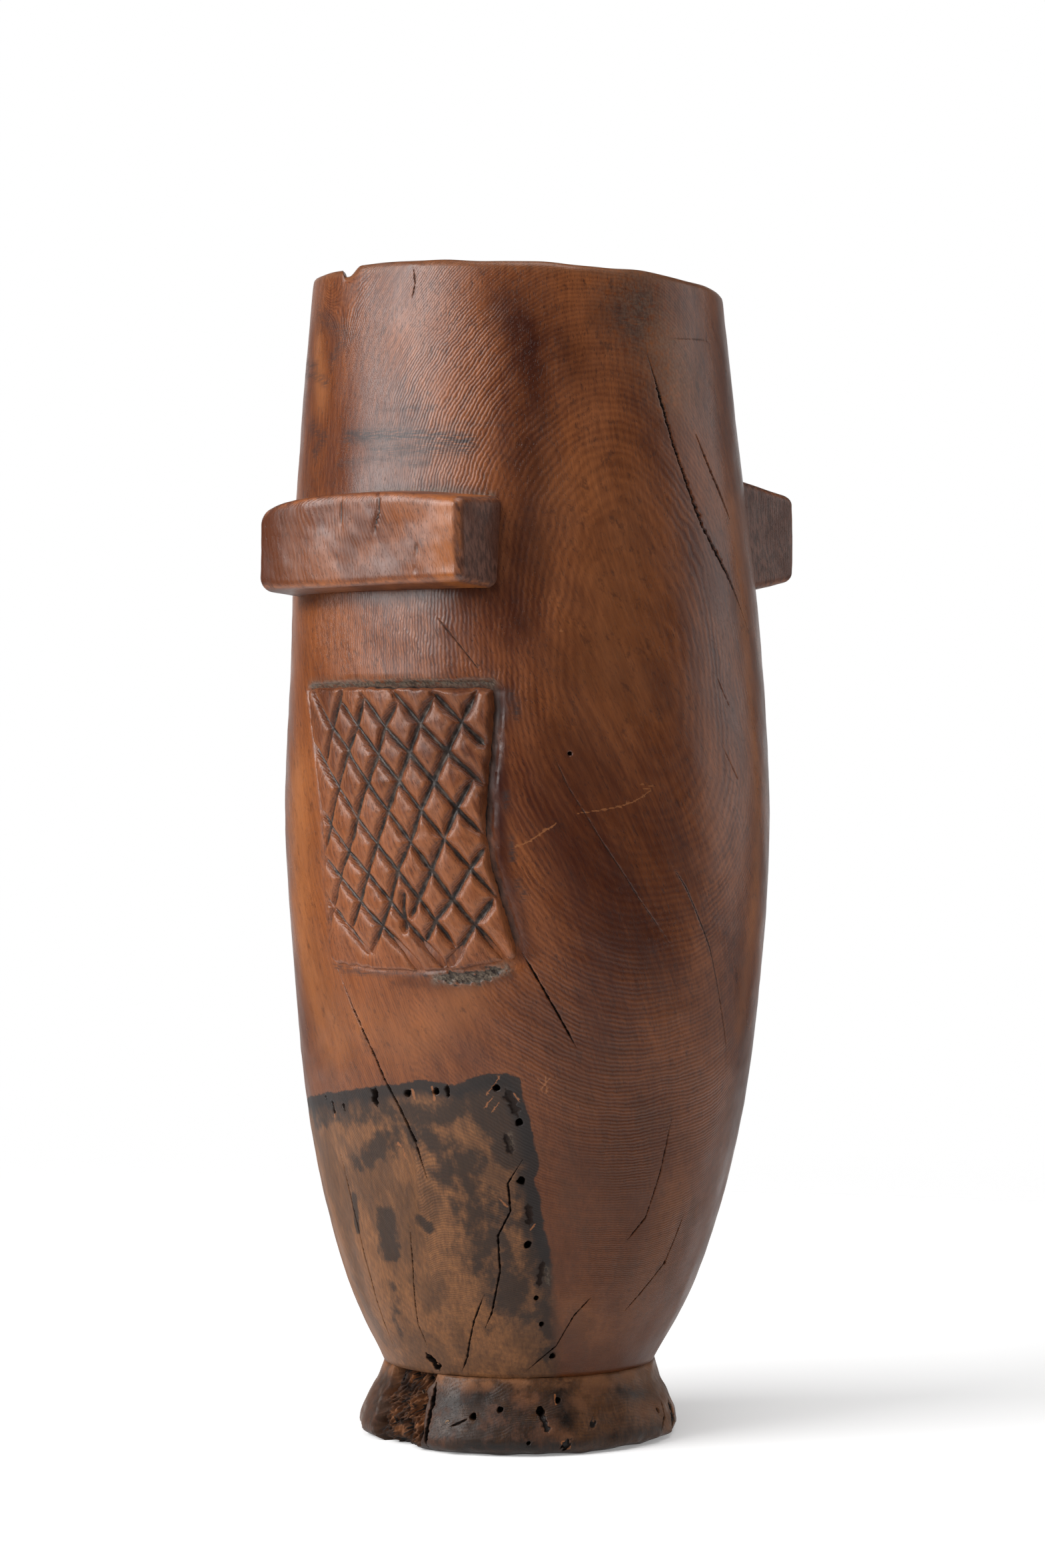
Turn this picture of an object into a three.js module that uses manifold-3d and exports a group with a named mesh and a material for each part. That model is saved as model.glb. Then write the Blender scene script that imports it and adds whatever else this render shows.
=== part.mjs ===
// A tall wooden milk container, carved from one log: an egg-shaped hollow body on a flared foot,
// two wide lugs under the mouth, and a panel of cross-hatched carving in low relief below each lug.
// The carving is parted along its own carved borders, so that each form is a solid of its own.
// Millimetres and degrees. +Z is up, the foot stands on z = 0, and one lug points along -X.

import * as THREE from "three";
import { mergeVertices } from "three/addons/utils/BufferGeometryUtils.js";
import Module from "manifold-3d";

// Gap between two pieces that meet
const CLEARANCE = 0.3;

// Foot: a flared ring of solid wood, widest just above the ground
const FOOT_SOLE_RADIUS = 56.5;
const FOOT_EDGE_RADIUS = 61;
const FOOT_EDGE_HEIGHT = 5;
const FOOT_FLARE_RADIUS = 57.4;
const FOOT_FLARE_HEIGHT = 14;

// Body: outside radius at eight stations, each a rise above the one before it
const WAIST_HEIGHT = 28;
const WAIST_RADIUS = 52;
const HIP_RISE = 32;
const HIP_RADIUS = 67.7;
const FLANK_RISE = 47;
const FLANK_RADIUS = 80.5;
const BELLY_RISE = 61;
const BELLY_RADIUS = 89.3;
const GIRTH_RISE = 70;
const GIRTH_RADIUS = 93.1;
const SHOULDER_RISE = 77;
const SHOULDER_RADIUS = 89.9;
const NECK_RISE = 77;
const NECK_RADIUS = 83.4;
const RIM_RISE = 48;
const RIM_RADIUS = 78.8;

// The log is not quite true: the belly sways to one side and the rim slopes down to the same side
const SWAY_AZIMUTH = -50;
const BELLY_SWAY = 3.7;
const RIM_DROP = 3.2;

// Hollow: walls, the thick floor above the waist and the round bottom
const RIM_WALL = 8;
const BODY_WALL = 11;
const LIP_ROUND = 2.6;
const FLOOR_THICKNESS = 18;
const BOWL_DEPTH = 45;

// Lugs: bars across the body above its shoulder, with a bowed outer face and rounded edges
const NEAR_LUG = {
  azimuth: 180,
  width: 101,
  aboveShoulder: 7,
  thickness: 31,
  standOut: 9.6,
  bow: 6.5,
};
const FAR_LUG = {
  azimuth: -5,
  width: 101,
  aboveShoulder: 13,
  thickness: 37,
  standOut: 16.5,
  bow: 5,
};
const LUG_EDGE_ROUND = 2.5;
const LUG_CORNER_RADIUS = 5;

// Carved panels below the lugs: each is a raised skin that stands in a shallow bordered field
const NEAR_PANEL = {
  lug: NEAR_LUG,
  belowLug: 37,
  height: 102,
  topWidth: 90,
  bottomWidth: 82,
  topTurn: 4.3,
  bottomTurn: 11.3,
};
const FAR_PANEL = {
  lug: FAR_LUG,
  belowLug: 35,
  height: 102,
  topWidth: 90,
  bottomWidth: 82,
  topTurn: -9,
  bottomTurn: -1,
};
const PANEL_RELIEF = 1.8;
const FIELD_DEPTH = 1.6;
const FIELD_BORDER = 1;

// Cross-hatching of the panels: two sets of V grooves at a slant
const GROOVE_WIDTH = 3.4;
const GROOVE_DEPTH = 1.9;
const FALLING_SLANT = -54;
const FALLING_PITCH = 10.5;
const RISING_SLANT = 64;
const RISING_PITCH = 13;
const HATCH_MARGIN = 3;

// Nail holes of a lost repair patch: a row along its top edge, one down its side, one round the foot
const NAIL_RADIUS = 1.15;
const NAIL_DEPTH = 6;
const PATCH_AZIMUTH = 158.5;
const PATCH_SPAN = 54.5;
const PATCH_ABOVE_FLANK = 28;
const PATCH_TOP_NAILS = 6;
const PATCH_SIDE_NAILS = 4;
const PATCH_SIDE_DRIFT = 17;
const FOOT_NAILS = 6;
const FOOT_NAIL_AZIMUTH = 203;
const FOOT_NAIL_STEP = 15;
const FOOT_NAIL_DROP = 12;

// A rotted notch in the foot below the near lug, and two broken pegs still in their holes
const NOTCH_AZIMUTH = 177;
const NOTCH_WIDTH = 19;
const NOTCH_FLOOR_WIDTH = 9;
const NOTCH_DEPTH = 7;
const PEG_RADIUS = 1.15;
const PEG_LENGTH = 10;
const SOLE_PEG = { azimuth: 193.5, drop: 16.4, recess: 0.8 };
const NOTCH_PEG = { azimuth: 174, drop: 8, recess: 4 };

// How finely the round forms are divided
const ROUND_STEPS = 56;
const OUTSIDE_STEPS = 18;
const INSIDE_STEPS = 12;
const BOWL_STEPS = 6;
const LIP_STEPS = 3;
const PANEL_COLUMNS = 10;
const PANEL_ROWS = 5;
const GROOVE_STEPS = 7;
const HOLE_SIDES = 8;

// Heights of the stations above the ground
const HIP_HEIGHT = WAIST_HEIGHT + HIP_RISE;
const FLANK_HEIGHT = HIP_HEIGHT + FLANK_RISE;
const BELLY_HEIGHT = FLANK_HEIGHT + BELLY_RISE;
const GIRTH_HEIGHT = BELLY_HEIGHT + GIRTH_RISE;
const SHOULDER_HEIGHT = GIRTH_HEIGHT + SHOULDER_RISE;
const NECK_HEIGHT = SHOULDER_HEIGHT + NECK_RISE;
const RIM_HEIGHT = NECK_HEIGHT + RIM_RISE;
const FLOOR_HEIGHT = WAIST_HEIGHT + FLOOR_THICKNESS;
const BOWL_TOP_HEIGHT = FLOOR_HEIGHT + BOWL_DEPTH;

const wasm = await Module();
wasm.setup();

const radians = THREE.MathUtils.degToRad;
const mix = THREE.MathUtils.lerp;

// A closed three.js geometry as a solid for cutting and joining.
function solidFrom(geometry) {
  const bare = geometry.index ? geometry.toNonIndexed() : geometry.clone();
  bare.deleteAttribute("normal");
  bare.deleteAttribute("uv");
  const merged = mergeVertices(bare, 1e-4);
  return new wasm.Manifold(
    new wasm.Mesh({
      numProp: 3,
      vertProperties: merged.attributes.position.array,
      triVerts: new Uint32Array(merged.index.array),
    }),
  );
}

// A solid as a three.js geometry again.
function geometryFrom(solid) {
  const mesh = solid.getMesh();
  return new THREE.BufferGeometry()
    .setAttribute("position", new THREE.BufferAttribute(mesh.vertProperties, 3))
    .setIndex(new THREE.BufferAttribute(mesh.triVerts, 1));
}

// Moves a geometry's points with the sway of the log and the slope of the rim.
const swayDirection = new THREE.Vector2(1, 0).rotateAround(new THREE.Vector2(), radians(SWAY_AZIMUTH));

function swayAt(height) {
  const share = Math.max(0, height - WAIST_HEIGHT) / (NECK_HEIGHT - WAIST_HEIGHT);
  return BELLY_SWAY * Math.sin(Math.PI * share);
}

function settle(geometry) {
  const point = geometry.attributes.position;
  for (let i = 0; i < point.count; i++) {
    const height = point.getZ(i);
    const along = point.getX(i) * swayDirection.x + point.getY(i) * swayDirection.y;
    const top = THREE.MathUtils.smoothstep(height, SHOULDER_HEIGHT, RIM_HEIGHT);
    point.setX(i, point.getX(i) + swayAt(height) * swayDirection.x);
    point.setY(i, point.getY(i) + swayAt(height) * swayDirection.y);
    point.setZ(i, height - (RIM_DROP * top * along) / RIM_RADIUS);
  }
  return geometry;
}

// A profile of (radius, height) points turned about +Z.
function turned(profile) {
  return settle(new THREE.LatheGeometry(profile, ROUND_STEPS).rotateX(Math.PI / 2));
}

// Outside of the body: a smooth line through the stations, from the waist to the rim.
const outline = new THREE.SplineCurve([
  new THREE.Vector2(WAIST_HEIGHT, WAIST_RADIUS),
  new THREE.Vector2(HIP_HEIGHT, HIP_RADIUS),
  new THREE.Vector2(FLANK_HEIGHT, FLANK_RADIUS),
  new THREE.Vector2(BELLY_HEIGHT, BELLY_RADIUS),
  new THREE.Vector2(GIRTH_HEIGHT, GIRTH_RADIUS),
  new THREE.Vector2(SHOULDER_HEIGHT, SHOULDER_RADIUS),
  new THREE.Vector2(NECK_HEIGHT, NECK_RADIUS),
  new THREE.Vector2(RIM_HEIGHT, RIM_RADIUS),
]);

function bodyRadius(height) {
  let low = 0;
  let high = 1;
  for (let i = 0; i < 30; i++) {
    const middle = (low + high) / 2;
    if (outline.getPoint(middle).x < height) low = middle;
    else high = middle;
  }
  return outline.getPoint(low).y;
}

// Outside of the foot at a height, along the same three points as its profile.
function footRadius(height) {
  if (height > FOOT_FLARE_HEIGHT) {
    const share = (height - FOOT_FLARE_HEIGHT) / (WAIST_HEIGHT - FOOT_FLARE_HEIGHT);
    return mix(FOOT_FLARE_RADIUS, WAIST_RADIUS, share);
  }
  const share = (height - FOOT_EDGE_HEIGHT) / (FOOT_FLARE_HEIGHT - FOOT_EDGE_HEIGHT);
  return mix(FOOT_EDGE_RADIUS, FOOT_FLARE_RADIUS, Math.max(0, share));
}

// Inside of the hollow: the wall thins towards the rim, and the bottom is round like a bowl.
function hollowRadius(height) {
  const share = THREE.MathUtils.smoothstep(height, GIRTH_HEIGHT, RIM_HEIGHT);
  const wall = mix(BODY_WALL, RIM_WALL, share);
  const below = BOWL_TOP_HEIGHT - height;
  if (below <= 0) return bodyRadius(height) - wall;
  const bowlRadius = bodyRadius(BOWL_TOP_HEIGHT) - BODY_WALL;
  return bowlRadius * Math.sqrt(Math.max(0, 1 - (below / BOWL_DEPTH) ** 2));
}

// The outside from the waist up to the start of the lip, as (radius, height) points.
function outsideProfile(top, margin) {
  const profile = [new THREE.Vector2(0, WAIST_HEIGHT)];
  for (let i = 0; i <= OUTSIDE_STEPS; i++) {
    const height = mix(WAIST_HEIGHT, top, i / OUTSIDE_STEPS);
    profile.push(new THREE.Vector2(bodyRadius(height) + margin, height));
  }
  return profile;
}

function bodyGeometry() {
  const lip = Math.min(LIP_ROUND, RIM_WALL / 3);
  const lipStart = RIM_HEIGHT - lip;
  const profile = outsideProfile(lipStart, 0);
  const quarter = Math.PI / 2;
  for (let i = 1; i <= LIP_STEPS; i++) {
    const turn = (quarter * i) / LIP_STEPS;
    const radius = bodyRadius(lipStart) - lip + lip * Math.cos(turn);
    profile.push(new THREE.Vector2(radius, lipStart + lip * Math.sin(turn)));
  }
  for (let i = 0; i < LIP_STEPS; i++) {
    const turn = (quarter * i) / LIP_STEPS;
    const radius = hollowRadius(lipStart) + lip - lip * Math.sin(turn);
    profile.push(new THREE.Vector2(radius, lipStart + lip * Math.cos(turn)));
  }
  for (let i = 0; i < INSIDE_STEPS; i++) {
    const height = mix(lipStart, BOWL_TOP_HEIGHT, i / INSIDE_STEPS);
    profile.push(new THREE.Vector2(hollowRadius(height), height));
  }
  for (let i = 0; i < BOWL_STEPS; i++) {
    const height = BOWL_TOP_HEIGHT - BOWL_DEPTH * Math.sin((quarter * i) / BOWL_STEPS);
    profile.push(new THREE.Vector2(hollowRadius(height), height));
  }
  profile.push(new THREE.Vector2(0, FLOOR_HEIGHT));
  return turned(profile);
}

// The body's outside, larger by a margin and without its hollow: what the lugs are cut back to.
function bodyEnvelope(margin) {
  const profile = outsideProfile(RIM_HEIGHT, margin);
  profile.push(new THREE.Vector2(0, RIM_HEIGHT));
  return solidFrom(turned(profile));
}

// A point on the body's skin, raised by an amount, at an azimuth and height of the unswayed body.
function onBody(azimuth, height, raised) {
  const radius = bodyRadius(height) + raised;
  return new THREE.Vector3(
    radius * Math.cos(radians(azimuth)),
    radius * Math.sin(radians(azimuth)),
    height,
  );
}

// A slab wrapped round the body between two raised skins. place(across, up) gives azimuth and height.
function wrappedSlab(place, under, over) {
  const layer = (PANEL_COLUMNS + 1) * (PANEL_ROWS + 1);
  const inner = (column, row) => row * (PANEL_COLUMNS + 1) + column;
  const outer = (column, row) => layer + inner(column, row);
  const corners = [];
  const faces = [];
  const quad = (a, b, c, d) => faces.push(a, b, c, a, c, d);
  for (const raised of [under, over])
    for (let row = 0; row <= PANEL_ROWS; row++)
      for (let column = 0; column <= PANEL_COLUMNS; column++) {
        const { azimuth, height } = place(column / PANEL_COLUMNS, row / PANEL_ROWS);
        corners.push(onBody(azimuth, height, raised));
      }
  for (let row = 0; row < PANEL_ROWS; row++)
    for (let column = 0; column < PANEL_COLUMNS; column++) {
      const [right, above] = [column + 1, row + 1];
      quad(outer(column, row), outer(right, row), outer(right, above), outer(column, above));
      quad(inner(column, above), inner(right, above), inner(right, row), inner(column, row));
    }
  for (let column = 0; column < PANEL_COLUMNS; column++) {
    const right = column + 1;
    quad(inner(column, 0), inner(right, 0), outer(right, 0), outer(column, 0));
    const [top, topRight] = [outer(column, PANEL_ROWS), outer(right, PANEL_ROWS)];
    quad(top, topRight, inner(right, PANEL_ROWS), inner(column, PANEL_ROWS));
  }
  for (let row = 0; row < PANEL_ROWS; row++) {
    const above = row + 1;
    quad(outer(0, row), outer(0, above), inner(0, above), inner(0, row));
    const [side, sideAbove] = [inner(PANEL_COLUMNS, row), inner(PANEL_COLUMNS, above)];
    quad(side, sideAbove, outer(PANEL_COLUMNS, above), outer(PANEL_COLUMNS, row));
  }
  const slab = new THREE.BufferGeometry().setFromPoints(corners).setIndex(faces);
  return solidFrom(settle(slab));
}

// Where a panel lies: shares across and up to azimuth and height, with a border added all round.
function panelPlace(panel, border) {
  const top = lugUnderside(panel.lug) - panel.belowLug;
  const bottom = top - panel.height;
  return (across, up) => {
    const height = mix(bottom - border, top + border, up);
    const share = (height - bottom) / panel.height;
    const width = mix(panel.bottomWidth, panel.topWidth, share) + 2 * border;
    const middle = panel.lug.azimuth + mix(panel.bottomTurn, panel.topTurn, share);
    const turn = THREE.MathUtils.radToDeg((width * (across - 0.5)) / bodyRadius(height));
    return { azimuth: middle + turn, height };
  };
}

// A V groove along a straight line of the panel, from one (across, up) point to another.
// The cutting bar stands proud of the panel by a share of its own size.
function grooveCutter(place, from, to) {
  const proud = 0.3;
  const lookAhead = 0.02;
  const half = (GROOVE_WIDTH / 2) * (1 + proud);
  const steps = Math.max(2, Math.ceil(from.distanceTo(to) * GROOVE_STEPS));
  const ahead = to.clone().sub(from).setLength(lookAhead);
  const points = [];
  const faces = [];
  for (let i = 0; i <= steps; i++) {
    const at = from.clone().lerp(to, i / steps);
    const here = place(at.x, at.y);
    const next = place(at.x + ahead.x, at.y + ahead.y);
    const centre = onBody(here.azimuth, here.height, PANEL_RELIEF);
    const out = new THREE.Vector3(centre.x, centre.y, 0).normalize();
    const along = onBody(next.azimuth, next.height, PANEL_RELIEF).sub(centre);
    const side = along.cross(out).normalize();
    const top = centre.clone().addScaledVector(out, GROOVE_DEPTH * proud);
    points.push(centre.clone().addScaledVector(out, -GROOVE_DEPTH));
    points.push(top.clone().addScaledVector(side, half));
    points.push(top.clone().addScaledVector(side, -half));
  }
  const quad = (a, b, c, d) => faces.push(a, b, c, a, c, d);
  for (let i = 0; i < 3 * steps; i += 3) {
    quad(i + 1, i, i + 3, i + 4);
    quad(i + 2, i + 1, i + 4, i + 5);
    quad(i, i + 2, i + 5, i + 3);
  }
  faces.push(0, 1, 2, 3 * steps, 3 * steps + 2, 3 * steps + 1);
  const bar = new THREE.BufferGeometry().setFromPoints(points).setIndex(faces);
  return solidFrom(settle(bar));
}

// Where a line through a point leaves a box, as distances along the line before and after the point.
function spanInBox(point, along, box) {
  const crossings = ["x", "y"].map((axis) => {
    const low = (box.min[axis] - point[axis]) / along[axis];
    const high = (box.max[axis] - point[axis]) / along[axis];
    return [Math.min(low, high), Math.max(low, high)];
  });
  return [Math.max(crossings[0][0], crossings[1][0]), Math.min(crossings[0][1], crossings[1][1])];
}

// Parallel lines at a slant, clipped to the hatched field: pairs of (across, up) points.
function hatchLines(panel, slant, pitch) {
  const size = new THREE.Vector2(panel.topWidth, panel.height);
  const field = new THREE.Box2(new THREE.Vector2(), size).expandByScalar(-HATCH_MARGIN);
  const centre = field.getCenter(new THREE.Vector2());
  const along = new THREE.Vector2(Math.cos(radians(slant)), Math.sin(radians(slant)));
  const across = new THREE.Vector2(-along.y, along.x);
  const count = Math.floor(size.length() / 2 / pitch);
  const lines = [];
  for (let i = -count; i <= count; i++) {
    const middle = centre.clone().addScaledVector(across, i * pitch);
    const [before, after] = spanInBox(middle, along, field);
    if (after - before < pitch) continue;
    const ends = [before, after].map((step) => middle.clone().addScaledVector(along, step).divide(size));
    lines.push(ends);
  }
  return lines;
}

function panelSolid(panel) {
  const place = panelPlace(panel, 0);
  let skin = wrappedSlab(place, CLEARANCE - FIELD_DEPTH, PANEL_RELIEF);
  const grooves = [
    ...hatchLines(panel, FALLING_SLANT, FALLING_PITCH),
    ...hatchLines(panel, RISING_SLANT, RISING_PITCH),
  ];
  for (const [from, to] of grooves) skin = skin.subtract(grooveCutter(place, from, to));
  return skin;
}

// The shallow field that a panel stands in.
function fieldCutter(panel) {
  return wrappedSlab(panelPlace(panel, FIELD_BORDER), -FIELD_DEPTH, PANEL_RELIEF);
}

// A round hole or peg that runs straight into the wood at an azimuth and height.
function radialRod(azimuth, height, radius, outer, inner) {
  const rod = new THREE.CylinderGeometry(radius, radius, outer - inner, HOLE_SIDES);
  rod.rotateZ(Math.PI / 2).translate((outer + inner) / 2, 0, 0);
  rod.rotateZ(radians(azimuth)).translate(0, 0, height);
  const sway = swayAt(height);
  rod.translate(sway * swayDirection.x, sway * swayDirection.y, 0);
  return solidFrom(rod);
}

function nailHole(azimuth, height, skinRadius) {
  return radialRod(azimuth, height, NAIL_RADIUS, skinRadius + NAIL_DEPTH, skinRadius - NAIL_DEPTH);
}

function lugUnderside(lug) {
  return SHOULDER_HEIGHT + lug.aboveShoulder;
}

// A bar with a bowed outer face, cut back to the body's skin.
function lugSolid(lug, envelope) {
  const underside = lugUnderside(lug);
  const half = lug.width / 2 - LUG_EDGE_ROUND;
  const middle = bodyRadius(underside + lug.thickness / 2) + lug.standOut - LUG_EDGE_ROUND;
  const end = middle - lug.bow;
  const corner = LUG_CORNER_RADIUS;
  const plan = new THREE.Shape();
  plan.moveTo(0, -half);
  plan.lineTo(end - corner, -half);
  plan.quadraticCurveTo(end, -half, end, corner - half);
  plan.quadraticCurveTo(end + 2 * lug.bow, 0, end, half - corner);
  plan.quadraticCurveTo(end, half, end - corner, half);
  plan.lineTo(0, half);
  plan.closePath();
  const bar = new THREE.ExtrudeGeometry(plan, {
    depth: lug.thickness - 2 * LUG_EDGE_ROUND,
    bevelThickness: LUG_EDGE_ROUND,
    bevelSize: LUG_EDGE_ROUND,
    bevelSegments: 2,
    curveSegments: 8,
  });
  bar.translate(0, 0, underside + LUG_EDGE_ROUND).rotateZ(radians(lug.azimuth));
  return solidFrom(bar).subtract(envelope);
}

// The foot's rotted notch: a wedge that narrows inwards and runs from the sole past the foot's top.
function notchCutter() {
  const mouth = FOOT_EDGE_RADIUS + NOTCH_DEPTH;
  const floor = FOOT_FLARE_RADIUS - NOTCH_DEPTH;
  const wedge = new THREE.Shape();
  wedge.moveTo(mouth, -NOTCH_WIDTH / 2);
  wedge.lineTo(mouth, NOTCH_WIDTH / 2);
  wedge.lineTo(floor, NOTCH_FLOOR_WIDTH / 2);
  wedge.lineTo(floor, -NOTCH_FLOOR_WIDTH / 2);
  wedge.closePath();
  const depth = WAIST_HEIGHT + 2 * NOTCH_DEPTH;
  const cutter = new THREE.ExtrudeGeometry(wedge, { depth, bevelEnabled: false });
  cutter.translate(0, 0, -NOTCH_DEPTH).rotateZ(radians(NOTCH_AZIMUTH));
  return solidFrom(cutter);
}

// A broken peg, shrunk below the skin of the foot, larger by a margin where it is its own hole.
function pegRod(peg, margin, outward) {
  const height = WAIST_HEIGHT - peg.drop;
  const outer = footRadius(height) - peg.recess;
  return radialRod(peg.azimuth, height, PEG_RADIUS + margin, outer + outward, outer - PEG_LENGTH - margin);
}

function footSolid() {
  const top = WAIST_HEIGHT - CLEARANCE;
  const profile = [
    new THREE.Vector2(0, 0),
    new THREE.Vector2(FOOT_SOLE_RADIUS, 0),
    new THREE.Vector2(mix(FOOT_SOLE_RADIUS, FOOT_EDGE_RADIUS, 0.75), FOOT_EDGE_HEIGHT / 3),
    new THREE.Vector2(FOOT_EDGE_RADIUS, FOOT_EDGE_HEIGHT),
    new THREE.Vector2(FOOT_FLARE_RADIUS, FOOT_FLARE_HEIGHT),
    new THREE.Vector2(footRadius(top), top),
    new THREE.Vector2(0, top),
  ];
  let foot = solidFrom(turned(profile)).subtract(notchCutter());
  const nailHeight = WAIST_HEIGHT - FOOT_NAIL_DROP;
  for (let i = 0; i < FOOT_NAILS; i++) {
    const azimuth = FOOT_NAIL_AZIMUTH + i * FOOT_NAIL_STEP;
    foot = foot.subtract(nailHole(azimuth, nailHeight, footRadius(nailHeight)));
  }
  for (const peg of [SOLE_PEG, NOTCH_PEG]) foot = foot.subtract(pegRod(peg, CLEARANCE, NOTCH_DEPTH));
  return foot;
}

function bodySolid() {
  let body = solidFrom(bodyGeometry());
  for (const panel of [NEAR_PANEL, FAR_PANEL]) body = body.subtract(fieldCutter(panel));
  const patchTop = FLANK_HEIGHT + PATCH_ABOVE_FLANK;
  for (let i = 0; i < PATCH_TOP_NAILS; i++) {
    const azimuth = PATCH_AZIMUTH + (PATCH_SPAN * i) / (PATCH_TOP_NAILS - 1);
    body = body.subtract(nailHole(azimuth, patchTop, bodyRadius(patchTop)));
  }
  for (let i = 1; i <= PATCH_SIDE_NAILS; i++) {
    const share = i / (PATCH_SIDE_NAILS + 1);
    const height = mix(patchTop, WAIST_HEIGHT, share);
    const azimuth = PATCH_AZIMUTH + PATCH_SPAN + PATCH_SIDE_DRIFT * share;
    body = body.subtract(nailHole(azimuth, height, bodyRadius(height)));
  }
  return body;
}

// Finishes: patinated hardwood, the weathered wood of the foot and the pale wood of the pegs.
const redBrownWood = new THREE.MeshStandardMaterial({ color: 0x6f3a20, roughness: 0.42, metalness: 0 });
const lugWood = new THREE.MeshStandardMaterial({ color: 0x8a4a26, roughness: 0.45, metalness: 0 });
const panelWood = new THREE.MeshStandardMaterial({ color: 0x66351f, roughness: 0.38, metalness: 0 });
const footWood = new THREE.MeshStandardMaterial({ color: 0x4a3328, roughness: 0.6, metalness: 0 });
const pegWood = new THREE.MeshStandardMaterial({ color: 0xa58a6a, roughness: 0.8, metalness: 0 });

const container = new THREE.Group();

function addPiece(name, solid, material) {
  const mesh = new THREE.Mesh(geometryFrom(solid), material);
  mesh.name = name;
  container.add(mesh);
}

addPiece("foot", footSolid(), footWood);
addPiece("sole_peg", pegRod(SOLE_PEG, 0, 0), pegWood);
addPiece("notch_peg", pegRod(NOTCH_PEG, 0, 0), pegWood);
addPiece("vessel_body", bodySolid(), redBrownWood);
addPiece("near_lug", lugSolid(NEAR_LUG, bodyEnvelope(CLEARANCE)), lugWood);
addPiece("far_lug", lugSolid(FAR_LUG, bodyEnvelope(CLEARANCE)), lugWood);
addPiece("near_lattice_panel", panelSolid(NEAR_PANEL), panelWood);
addPiece("far_lattice_panel", panelSolid(FAR_PANEL), panelWood);

export default container;
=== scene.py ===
# A tall wooden milk container, put together as its forms meet: body, foot, broken pegs, lugs and
# lattice panels, and then the floor, the lights and the camera.
# Shapes are worked out in millimetres and degrees, and scaled to metres where a mesh is made.
import math

import bmesh
import bpy
import numpy as np
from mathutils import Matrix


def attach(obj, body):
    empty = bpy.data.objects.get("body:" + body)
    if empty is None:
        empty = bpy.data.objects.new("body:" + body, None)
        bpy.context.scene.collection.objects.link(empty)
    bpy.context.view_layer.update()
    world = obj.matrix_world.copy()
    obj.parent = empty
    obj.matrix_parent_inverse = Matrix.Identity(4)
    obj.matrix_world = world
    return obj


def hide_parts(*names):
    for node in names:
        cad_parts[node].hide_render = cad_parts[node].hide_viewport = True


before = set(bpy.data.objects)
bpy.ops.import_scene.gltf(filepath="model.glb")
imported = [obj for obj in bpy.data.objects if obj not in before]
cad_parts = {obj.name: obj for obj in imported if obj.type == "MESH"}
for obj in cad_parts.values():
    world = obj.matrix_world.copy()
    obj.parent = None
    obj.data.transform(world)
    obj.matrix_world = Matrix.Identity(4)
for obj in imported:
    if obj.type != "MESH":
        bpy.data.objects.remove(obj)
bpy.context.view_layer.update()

# Vessel body
# One log of red-brown hardwood, hollowed from the mouth and rubbed to a soft gloss by hands and fat.
# A repair patch was once nailed over its lower left side. Its dark outline, stain and holes are left.
MM = 0.001
WAIST_HEIGHT = 28
SHOULDER_HEIGHT = 315
NECK_HEIGHT = 392
RIM_HEIGHT = 440
RIM_RADIUS = 78.8
BODY_STATIONS = [
    (WAIST_HEIGHT, 52), (60, 67.7), (107, 80.5), (168, 89.3),
    (238, 93.1), (SHOULDER_HEIGHT, 89.9), (NECK_HEIGHT, 83.4), (RIM_HEIGHT, RIM_RADIUS),
]
SWAY_AZIMUTH = -50
BELLY_SWAY = 3.7
RIM_DROP = 3.2
LIP_ROUND = 2.6
RIM_WALL = 8
BODY_WALL = 11
FLOOR_HEIGHT = 46
BOWL_TOP_HEIGHT = 91
FIELD_DEPTH = 1.6
FRONT_START = 128
FRONT_END = 312
OUT_OF_REACH = 2000.0
PANEL_HEIGHT = 102
NEAR_PANEL = {"azimuth": 180, "bottom": 183, "top_turn": 4.3, "bottom_turn": 11.3, "mirror": 1}
FAR_PANEL = {"azimuth": 355, "bottom": 191, "top_turn": -9, "bottom_turn": -1, "mirror": -1}

# How the photograph was taken: its size and focal length in pixels, and where the eye stood
PHOTO_WIDTH = 1568
PHOTO_HEIGHT = 2352
FOCAL_LENGTH = 5500
EYE_AZIMUTH = 220
EYE_DISTANCE = 1416
EYE_HEIGHT = 249
EYE_OFFSET = 1.5

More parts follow.
